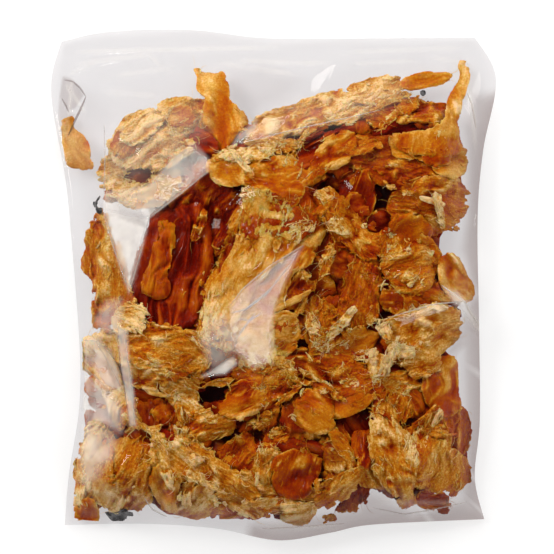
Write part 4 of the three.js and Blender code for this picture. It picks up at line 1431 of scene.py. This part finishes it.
def fibre_paths(rows):
    """Curled paths from rows of place, way and tone: fibres by points by 3, in metres."""
    draw = np.random.default_rng(21)
    count = len(rows)
    length = draw.uniform(*FIBRE_LENGTH, count)[:, None] * MM
    turn = np.arctan2(rows[:, 4], rows[:, 3]) + draw.normal(0, FIBRE_TURN, count)
    share = np.linspace(0, 1, FIBRE_POINTS)[None, :]
    bearing = turn[:, None] + draw.normal(0, FIBRE_CURL, count)[:, None] * share
    step = length / (FIBRE_POINTS - 1)
    x = rows[:, 0:1] + np.cumsum(np.cos(bearing) * step, 1) - np.cos(bearing[:, :1]) * step
    y = rows[:, 1:2] + np.cumsum(np.sin(bearing) * step, 1) - np.sin(bearing[:, :1]) * step
    rise = draw.uniform(-FIBRE_RISE, FIBRE_RISE, count)[:, None] * length * share
    z = np.maximum(rows[:, 2:3] + rise, sampled(pile, x, y) + FIBRE_STAND)
    return np.stack([x, y, np.minimum(z, sampled(upper_film, x, y) - SKIN)], -1)


def loose_fibres():
    """Frayed ends as one joined mesh of thin tubes."""
    rows = unburied(torn_ends)
    paths = fibre_paths(rows)
    roomy = sampled(room, paths[..., 0], paths[..., 1]).min(1) > FIBRE_LEAST_ROOM
    rows, paths = rows[roomy], paths[roomy]
    count = len(paths)
    radii = np.random.default_rng(23).uniform(*FIBRE_RADIUS, count)[:, None, None] * MM
    way = np.gradient(paths, axis=1)
    way /= np.linalg.norm(way, axis=-1, keepdims=True) + 1e-9
    side = np.cross(way, (0, 0, 1.0))
    side /= np.linalg.norm(side, axis=-1, keepdims=True) + 1e-9
    lift = np.cross(side, way)
    taper = 1 - FIBRE_TAPER * np.abs(np.linspace(-0.7, 1, FIBRE_POINTS))[None, :, None]
    turns = np.arange(FIBRE_SIDES) * 2 * np.pi / FIBRE_SIDES
    rings = [paths + radii * taper * (np.cos(a) * side + np.sin(a) * lift) for a in turns]
    points = np.stack(rings, 2).reshape(-1, 3)
    faces, sheet = strip_faces(count, FIBRE_POINTS, FIBRE_SIDES)
    amber = np.repeat(np.clip(rows[:, 5] - FIBRE_PALER, 0, FIBRE_DEEPEST), FIBRE_POINTS * FIBRE_SIDES)
    maps = {"OFBake": sheet, "fibre_lay": sheet * STRIP_LAY}
    mesh_object("loose_fibres", points, faces, pale_flesh, {"amber": amber}, maps)


loose_fibres()

# Painted shade by depth. Light that reaches flesh low in the pile has passed through its neighbours, so
# that flesh looks deeper than the same flesh on top; this shade is painted into the tone, and flesh that
# stands out is painted paler, as painted light.
DEPTH_SHADE_BLUR = 4
DEPTH_SHADE_RANGE = 4 * MM
DEPTH_SHADE_TONE = 0.15
DEPTH_SHADE_LIMITS = (-0.3, 1.2)


def painted_depth_shade(mesh, around):
    """Paints shade into a piece's tone where it lies below its neighbours, and paints light where it stands
    out.
    """
    count = len(mesh.vertices)
    places, amber = np.empty(3 * count), np.empty(count)
    mesh.vertices.foreach_get("co", places)
    x, y, z = places.reshape(-1, 3).T
    values = mesh.attributes["amber"].data
    values.foreach_get("value", amber)
    below = np.clip((sampled(slope, x, y) - z - sampled(around, x, y)) / DEPTH_SHADE_RANGE, *DEPTH_SHADE_LIMITS)
    values.foreach_set("value", np.clip(amber + DEPTH_SHADE_TONE * below, 0, 1).astype(np.float32))


covered = (pile > 0).astype(float)
surroundings = blurred(covered * (slope - pile), DEPTH_SHADE_BLUR) / (blurred(covered, DEPTH_SHADE_BLUR) + 1e-3)
for piece in scene.collection.objects:
    if piece.type == "MESH" and "amber" in piece.data.attributes:
        painted_depth_shade(piece.data, surroundings)

# Film bag. Thin clear packing film, folded and heat welded along the mouth, drawn tight over the highest
# pieces and slack and creased where it bridges the gaps and at the empty mouth.
FILM_CUTS = 3
FILM_CLEARANCE = 0.35 * MM
FILM_ROUNDS = 400
FILM_RIM_BLUR = 4
FACET_STAND = 1.2 * MM
FACET_CALM = 0.9
FACET_LEVEL = 97
FILM_LEAST_RISE = 0.02
FILM_LOWER_SHARE = 0.35
FILM_RIM_HELD = 0.6
FILM_MIRROR = {"To Min": 0.013, "To Max": 0.2}
FILM_GRAZING_POWER = 4.0
FILM_TINT = (0.905, 0.898, 0.902, 1)
FILM_ROUGHNESS = 0.05
CRINKLES = ((17, 0.25), (6, 0.13))
# Crumpled film: outline in photo pixels, pitch and height of the crumples in millimetres.
CRUMPLES = (
    ((58, 76, 77, 76, 86, 94, 78, 110, 71, 120, 62, 108, 58, 98), 9, 0.7),
    ((440, 283, 484, 290, 484, 330, 462, 320), 11, 1.2),
    ((98, 500, 150, 496, 172, 506, 166, 524, 100, 524), 9, 0.8),
    ((262, 520, 345, 518, 350, 536, 300, 545, 258, 536), 10, 0.8),
    ((452, 60, 484, 70, 486, 150, 468, 150), 12, 0.8),
    ((58, 40, 172, 38, 160, 66, 58, 70), 14, 0.5),
)

# Flat facets that mirror the high window, outlines in photo pixels.
FACETS = {
    "band": (178, 160, 195, 145, 210, 162, 207, 175, 178, 197, 150, 220, 138, 213, 160, 192),
    "funnel": (106, 212, 149, 226, 131, 292),
    "left_column": (84, 344, 106, 350, 117, 385, 114, 425, 92, 420, 84, 380),
    "centre": (
        303, 246, 290, 254, 270, 266, 243, 289, 231, 305, 230, 340, 234, 351, 255, 367, 270, 360,
        274, 345, 273, 322, 277, 300, 286, 281, 296, 260),
    "centre_wing": (203, 375, 222, 362, 234, 353, 238, 362, 226, 372),
    "pale_strip": (385, 318, 430, 304, 468, 300, 440, 314, 402, 324),
    "mouth_strip": (232, 150, 262, 118, 300, 112, 270, 140),
    "header_glint": (306, 95, 312, 76, 328, 64, 346, 55, 330, 72, 320, 92),
}
# Facets that lie square to the eye and so mirror only the dark ceiling.
CALM_FACETS = {
    "over_red_fillet": (
        150, 225, 196, 212, 212, 240, 222, 262, 226, 300, 222, 330, 200, 346, 152, 336, 136, 300),
    "over_right_hollow": (352, 176, 378, 166, 402, 178, 404, 206, 380, 216, 358, 206),
    "over_under_flap": (196, 180, 226, 168, 244, 188, 226, 214, 202, 208),
    "left_of_centre": (228, 226, 268, 214, 300, 236, 286, 248, 262, 262, 240, 284, 229, 300, 224, 262),
}
# Painted glare and milky places: white painted where the film shows glare, and where it is crazed by
# folding: share, width of the rim in millimetres, outline.
MILK_AND_GLARE_PLACES = (
    (0.26, 1.2, (195, 143, 210, 161, 209, 173, 150, 219, 104, 210, 104, 192, 150, 186, 172, 160)),
    (0.36, 1.2, (104, 210, 150, 219, 131, 292)),
    (0.40, 1.0, (
        119, 326, 129, 330, 130, 350, 133, 372, 136, 400, 138, 424, 132, 424, 128, 400, 124, 376,
        121, 352)),
    (0.34, 1.5, (82, 339, 97, 336, 112, 352, 120, 372, 122, 390, 108, 386, 92, 367, 83, 368)),
    (0.34, 1.2, (83, 372, 92, 378, 104, 388, 110, 398, 104, 404, 88, 396, 82, 388)),
    (0.36, 1.2, (82, 392, 90, 398, 93, 412, 84, 420, 80, 410)),
    (0.32, 3.0, (84, 384, 112, 392, 124, 410, 122, 430, 100, 424, 84, 424)),
    (0.30, 3.0, (108, 302, 122, 300, 122, 332, 100, 332, 96, 320)),
    (0.20, 1.2, (
        303, 246, 270, 266, 243, 289, 231, 305, 230, 340, 234, 351, 255, 367, 270, 360, 274, 345,
        273, 322, 277, 300, 296, 260)),
    (0.26, 1.2, (257, 121, 258, 132, 240, 143, 233, 147, 238, 136)),
    (0.07, 3.0, (62, 126, 74, 124, 88, 138, 94, 168, 80, 169, 64, 160)),
    (0.13, 8.0, (113, 135, 150, 114, 195, 104, 205, 130, 180, 155, 150, 175, 104, 190, 104, 155)),
    (0.10, 8.0, (243, 141, 290, 107, 345, 92, 400, 82, 404, 96, 373, 113, 320, 127, 280, 139)),
    (0.44, 1.2, (203, 375, 222, 362, 234, 353, 238, 362, 226, 372)),
    (0.32, 1.5, (444, 290, 455, 291, 482, 322, 484, 335, 470, 322, 452, 304)),
    (0.28, 3.0, (203, 340, 210, 318, 226, 314, 238, 340, 234, 358, 214, 366)),
    (0.36, 4.0, (82, 424, 100, 420, 116, 436, 112, 455, 92, 480, 84, 490, 80, 450)),
)
GLARE_MILK_LUMP = 6 * MM
GLARE_MILK_COLOUR = (0.9, 0.85, 0.77, 1)
CREASE_GLARE = 0.22
CREASE_FADE = 6
CREASE_END = 0.1
CRUMPLE_RIM = 3
# Painted shadow on the film, the margin at the right and the foot above all, where the films lie together
# in the fish's shade, and dark fold lines at the upper left: share, width of the rim in millimetres,
# outline.
PAINTED_SHADOW_TINT = (0.70, 0.66, 0.655, 1)
PAINTED_SHADOWS = (
    (1.0, 4.0, (
        464, 128, 474, 96, 500, 92, 500, 560, 240, 560, 252, 524, 286, 519, 340, 510, 358, 508,
        361, 490, 380, 494, 404, 509, 412, 516, 462, 500, 466, 460, 462, 350, 446, 352, 464, 308,
        476, 294, 460, 250, 468, 215)),
    (0.6, 2.0, (104, 206, 148, 216, 131, 292)),
    (1.0, 0.8, (62, 76, 70, 78, 78, 85, 84, 95, 76, 108, 67, 112, 59, 97)),
    (0.8, 0.8, (59, 97, 67, 111, 75, 115, 66, 133, 60, 132, 58, 112)),
    (0.35, 6.0, (222, 74, 262, 66, 300, 80, 284, 104, 250, 116, 236, 100)),
)
# Creases of the slack film: ends in photo pixels, height and half width in millimetres.
CREASES = (
    (62, 49, 285, 44, 0.8, 1.6),
    (66, 72, 96, 58, 0.7, 1.6),
    (112, 74, 176, 66, 0.6, 1.8),
    (140, 44, 162, 66, 0.5, 1.6),
    (236, 58, 330, 62, 0.7, 1.8),
    (352, 62, 420, 58, 0.6, 1.6),
    (430, 54, 474, 62, 0.6, 1.6),
    (70, 62, 150, 52, 0.6, 1.8),
    (215, 60, 300, 74, 0.6, 2.0),
    (100, 90, 160, 96, 0.5, 2.4),
    (340, 50, 470, 44, 0.6, 1.8),
    (470, 80, 478, 150, 0.9, 2.0),
    (62, 80, 84, 112, 1.0, 1.6),
    (70, 74, 66, 118, 0.9, 1.4),
    (118, 312, 136, 430, 1.6, 2.6),
    (131, 292, 104, 212, 0.9, 1.6),
    (131, 292, 150, 224, 0.9, 1.6),
    (440, 285, 481, 325, 1.2, 2.2),
    (145, 497, 166, 518, 0.9, 2.0),
    (262, 526, 345, 530, 0.8, 2.2),
    (372, 500, 470, 505, 0.7, 2.2),
)


def drawn_film():
    """Maps of the film drawn over the pile, of how far it is drawn, and of its flat facets. The highest
    pieces and the facets hold it up, and it runs straight between them."""
    inside = (upper_film > 0).astype(float)
    held = np.where(pile > 0, pile + FILM_CLEARANCE, 0)
    high = held.copy()
    for axis in (0, 1):
        high = np.maximum(high, np.maximum(np.roll(held, 1, axis), np.roll(held, -1, axis)))
    j, i = np.meshgrid(np.arange(MAP_SHAPE[1]), np.arange(MAP_SHAPE[0]))
    x, y = MAP_LOW[0] + j * CELL, MAP_LOW[1] + i * CELL
    eye = np.array(camera.location)
    flat = np.zeros(MAP_SHAPE)
    facets = [(pairs, HIGH_WINDOW) for pairs in FACETS.values()]
    facets += [(pairs, eye) for pairs in CALM_FACETS.values()]
    for pairs, mirrored in facets:
        outline = on_bag(pairs, MASS_LEVEL)
        within = edge_distance(x / MM, y / MM, outline) > 0
        middle = np.array((*(outline.mean(0) * MM), MASS_LEVEL))
        ways = [(spot - middle) / np.linalg.norm(spot - middle) for spot in (eye, np.array(mirrored))]
        facing = ways[0] + ways[1]
        fall = -(facing[0] * (x - middle[0]) + facing[1] * (y - middle[1])) / facing[2]
        level = np.percentile((high - fall)[within], FACET_LEVEL) + FACET_STAND
        flat = np.where(within, np.maximum(high, level + fall), flat)
    film = np.maximum(upper_film, high)
    rim = eased(2 * blurred(inside, FILM_RIM_BLUR) - 1) * inside
    for _ in range(FILM_ROUNDS):
        mean = (np.roll(film, 1, 0) + np.roll(film, -1, 0) + np.roll(film, 1, 1) + np.roll(film, -1, 1)) / 4
        film = np.where(rim > FILM_RIM_HELD, np.where(flat > 0, flat, np.maximum(mean, high)), film)
    return film, rim, (flat > 0).astype(float)


def creased(x, y):
    """Height that the named creases add, as sharp ridges that die out at their ends."""
    added = np.zeros(x.shape)
    for x0, y0, x1, y1, height, half in CREASES:
        (ax, ay), (bx, by) = on_bag((x0, y0, x1, y1), MASS_LEVEL)
        dx, dy = bx - ax, by - ay
        share = ((x / MM - ax) * dx + (y / MM - ay) * dy) / (dx * dx + dy * dy)
        off = np.hypot(x / MM - ax - np.clip(share, 0, 1) * dx, y / MM - ay - np.clip(share, 0, 1) * dy)
        fade = eased(CREASE_FADE * np.clip(np.minimum(share, 1 - share), 0, 1) + CREASE_END)
        added = np.maximum(added, height * MM * fade * np.clip(1 - off / half, 0, 1))
    return added


def crumpled_film(x, y):
    """Height that crumples add, and the small crinkles that run all over the film."""
    added = np.zeros(x.shape)
    for pitch, height in CRINKLES:
        added = added + height * MM * ridged(x / (pitch * MM) + 30, y / (pitch * MM))
    for pairs, pitch, height in CRUMPLES:
        inside = eased(edge_distance(x / MM, y / MM, on_bag(pairs, SEAM_LEVEL)) / CRUMPLE_RIM)
        added = added + height * MM * inside * ridged(x / (pitch * MM) + 50, y / (pitch * MM) + 9)
    return added


def outlined(x, y, rows, level):
    """Share of a film effect from rows of its most, the width of its soft rim and its outline."""
    share = np.zeros(x.shape)
    for most, soft, pairs in rows:
        inside = edge_distance(x / MM, y / MM, on_bag(pairs, level))
        share = np.maximum(share, most * eased(0.5 * inside / soft + 0.5))
    return share


def glare_and_milk_share(x, y):
    """Share of white on the film: painted glare and crazed places with soft rims, and painted highlights on
    the backs of the creases.
    """
    share = np.maximum(CREASE_GLARE * creased(x, y) / MM, outlined(x, y, MILK_AND_GLARE_PLACES, MASS_LEVEL))
    return share * (0.5 + billow(x / GLARE_MILK_LUMP, y / GLARE_MILK_LUMP))


def film_sheet(mesh, places):
    """Bake places of the film: faces that look up on one half of the sheet, the others beside."""
    spread = np.empty(len(mesh.loops), int)
    mesh.loops.foreach_get("vertex_index", spread)
    rise = np.repeat([f.normal.z for f in mesh.polygons], [f.loop_total for f in mesh.polygons])
    return two_sided_sheet(places[spread], rise < 0)


def film_mesh():
    """The bag's own skin, split finer, drawn over the pile and creased."""
    source = frame["nodes"]["bag"].data
    shape = bmesh.new()
    shape.from_mesh(source)
    bmesh.ops.remove_doubles(shape, verts=shape.verts, dist=1e-5)
    shape.normal_update()
    upper_faces = [f for f in shape.faces if f.normal.z > FILM_LEAST_RISE]
    upper_edges = list({e for f in upper_faces for e in f.edges})
    bmesh.ops.subdivide_edges(shape, edges=upper_edges, cuts=FILM_CUTS, use_grid_fill=True)
    shape.normal_update()
    mesh = bpy.data.meshes.new("film_bag")
    shape.to_mesh(mesh)
    shape.free()
    film, rim, plane = drawn_film()
    places = np.empty(3 * len(mesh.vertices))
    mesh.vertices.foreach_get("co", places)
    places = places.reshape(-1, 3)
    x, y, z = places.T
    lower = z < sampled(lower_film, x, y) + FILM_LOWER_SHARE * sampled(room, x, y)
    slack = 1 - FACET_CALM * sampled(plane, x, y)
    drawn = sampled(film, x, y) + (crumpled_film(x, y) + creased(x, y)) * slack
    share = np.where(lower, 0, sampled(rim, x, y))
    places[:, 2] = z + share * (drawn - z)
    mesh.vertices.foreach_set("co", places.ravel())
    # Painted glare and milk whiten the film, and painted shadow darkens it.
    for key, value in (("haze", glare_and_milk_share(x, y)), ("dim", outlined(x, y, PAINTED_SHADOWS, SEAM_LEVEL))):
        values = np.where(lower, 0, value).astype(np.float32)
        mesh.attributes.new(key, "FLOAT", "POINT").data.foreach_set("value", values)
    mesh.polygons.foreach_set("use_smooth", np.ones(len(mesh.polygons), bool))
    sheet = film_sheet(mesh, places).astype(np.float32)
    mesh.uv_layers.new(name="OFBake").data.foreach_set("uv", sheet.ravel())
    return mesh


def clear_film():
    """Clear film: what it does not mirror passes straight through, a little dimmed, and darker still under
    painted shadow; painted glare and milk whiten it in places.
    """
    material = bpy.data.materials.new("clear_film")
    material.use_nodes = True
    nodes, links = material.node_tree.nodes, material.node_tree.links
    nodes.remove(nodes["Principled BSDF"])
    through = nodes.new("ShaderNodeBsdfTransparent")
    # Painted shadow: the see-through tint darkens where the attribute is set.
    shadow_paint = nodes.new("ShaderNodeAttribute")
    shadow_paint.attribute_name = "dim"
    tint = nodes.new("ShaderNodeMix")
    tint.data_type = "RGBA"
    links.new(shadow_paint.outputs["Fac"], tint.inputs["Factor"])
    tint.inputs[6].default_value = FILM_TINT
    tint.inputs[7].default_value = PAINTED_SHADOW_TINT
    links.new(tint.outputs[2], through.inputs["Color"])
    mirror = nodes.new("ShaderNodeBsdfGlossy")
    mirror.inputs["Roughness"].default_value = FILM_ROUGHNESS
    facing = nodes.new("ShaderNodeLayerWeight")
    facing.inputs["Blend"].default_value = 0.5
    grazing = nodes.new("ShaderNodeMath")
    grazing.operation = "POWER"
    links.new(facing.outputs["Facing"], grazing.inputs[0])
    grazing.inputs[1].default_value = FILM_GRAZING_POWER
    share = nodes.new("ShaderNodeMapRange")
    set_sockets(share, FILM_MIRROR)
    links.new(grazing.outputs[0], share.inputs["Value"])
    mix = nodes.new("ShaderNodeMixShader")
    links.new(share.outputs["Result"], mix.inputs["Fac"])
    links.new(through.outputs["BSDF"], mix.inputs[1])
    links.new(mirror.outputs["BSDF"], mix.inputs[2])
    # Painted glare and milk: a white diffuse mixed over the clear film.
    glare_milk = nodes.new("ShaderNodeAttribute")
    glare_milk.attribute_name = "haze"
    glare_milk_white = nodes.new("ShaderNodeBsdfDiffuse")
    glare_milk_white.inputs["Color"].default_value = GLARE_MILK_COLOUR
    glare_milk_mix = nodes.new("ShaderNodeMixShader")
    links.new(glare_milk.outputs["Fac"], glare_milk_mix.inputs["Fac"])
    links.new(mix.outputs["Shader"], glare_milk_mix.inputs[1])
    links.new(glare_milk_white.outputs["BSDF"], glare_milk_mix.inputs[2])
    links.new(glare_milk_mix.outputs["Shader"], nodes["Material Output"].inputs["Surface"])
    return material


film_skin = film_mesh()
film_skin.materials.append(clear_film())
film_bag = bpy.data.objects.new("film_bag", film_skin)
scene.collection.objects.link(film_bag)
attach(film_bag, "root")
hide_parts("bag")

# Film folds. Where the film was pinched it keeps sharp narrow folds. The film is double there and shows as
# light or dark lines, painted on the strips as painted glare and milk or as painted shade.
FOLD_STEPS = 24
FOLD_RISE = 0.25 * MM
FOLD_BACK = 0.3
# Each fold: half width in millimetres, share of painted glare and milk, share of painted shade, path in
# photo pixels.
FOLDS = (
    (0.45, 0.00, 0.7, (61, 77, 70, 79, 78, 86, 84, 95)),
    (0.60, 0.00, 0.9, (84, 95, 80, 105, 75, 115, 66, 134)),
    (0.45, 0.00, 0.6, (59, 96, 63, 103, 67, 111)),
    (0.50, 0.35, 0.0, (233, 312, 246, 309, 258, 300, 272, 287)),
    (0.50, 0.30, 0.0, (237, 338, 246, 325, 256, 312)),
    (0.40, 0.35, 0.0, (240, 318, 250, 320, 262, 312)),
    (0.45, 0.30, 0.0, (262, 300, 276, 282, 292, 262)),
    (0.45, 0.30, 0.0, (469, 92, 474, 106, 478, 128)),
    (0.40, 0.15, 0.0, (104, 125, 105, 160, 104, 200)),
    (0.40, 0.20, 0.0, (209, 173, 180, 196, 150, 219)),
    (0.40, 0.15, 0.0, (104, 212, 116, 250, 131, 292)),
    (0.40, 0.15, 0.0, (150, 220, 141, 258, 131, 292)),
    (0.30, 0.00, 0.7, (119, 336, 123, 372, 130, 412)),
    (0.30, 0.25, 0.0, (128, 340, 131, 370, 137, 425)),
    (0.40, 0.18, 0.0, (82, 341, 96, 341, 110, 364, 122, 386)),
    (0.35, 0.15, 0.0, (83, 368, 96, 376, 110, 390)),
    (0.55, 0.35, 0.0, (440, 285, 462, 302, 481, 325)),
    (0.40, 0.25, 0.0, (385, 318, 430, 304, 470, 300)),
    (0.40, 0.30, 0.0, (145, 497, 152, 510, 166, 518)),
    (0.40, 0.20, 0.0, (262, 530, 300, 528, 345, 526)),
    (0.35, 0.25, 0.0, (303, 246, 270, 266, 243, 289, 231, 305)),
    (0.40, 0.25, 0.0, (240, 145, 310, 127, 380, 110)),
    (0.40, 0.20, 0.0, (372, 508, 405, 516, 470, 505)),
)


def fold_path(pairs):
    """Even points of a fold's path in metres across the bag."""
    corners = on_bag(pairs, MASS_LEVEL) * MM
    run = np.concatenate([[0], np.cumsum(np.hypot(*np.diff(corners, axis=0).T))])
    even = np.linspace(0, run[-1], FOLD_STEPS)
    return np.stack([np.interp(even, run, corners[:, k]) for k in (0, 1)], -1)


def film_folds():
    """All folds as one joined mesh of flat four-sided strips that lie on the film."""
    points = [v.co for v in film_skin.vertices]
    tree = BVHTree.FromPolygons(points, [p.vertices for p in film_skin.polygons])
    paths = np.stack([fold_path(row[3]) for row in FOLDS])
    heights = np.zeros(paths.shape[:2])
    for spot in np.ndindex(heights.shape):
        heights[spot] = tree.ray_cast(Vector((*paths[spot], RAY_HEIGHT)), Vector((0, 0, -1)))[0].z
    middles = np.concatenate([paths, heights[..., None]], -1)
    way = np.gradient(paths, axis=1)
    way /= np.linalg.norm(way, axis=-1, keepdims=True)
    side = np.stack([-way[..., 1], way[..., 0], 0 * way[..., 0]], -1)
    taper = np.sin(np.pi * np.linspace(0.03, 0.97, FOLD_STEPS))[None, :, None] ** 0.5
    halves = np.array([row[0] for row in FOLDS])[:, None, None] * MM * taper
    rise = np.array((0, 0, FOLD_RISE))
    rings = [middles + halves * side, middles + rise, middles - halves * side, middles - FOLD_BACK * rise]
    points = np.stack(rings, 2).reshape(-1, 3)
    faces, sheet = strip_faces(len(FOLDS), FOLD_STEPS, len(rings))
    values = {}
    for key, column in (("haze", 1), ("dim", 2)):
        values[key] = np.repeat([row[column] for row in FOLDS], FOLD_STEPS * len(rings))
    film = film_skin.materials[0]
    mesh_object("film_folds", points, faces, film, values, {"OFBake": sheet})


film_folds()
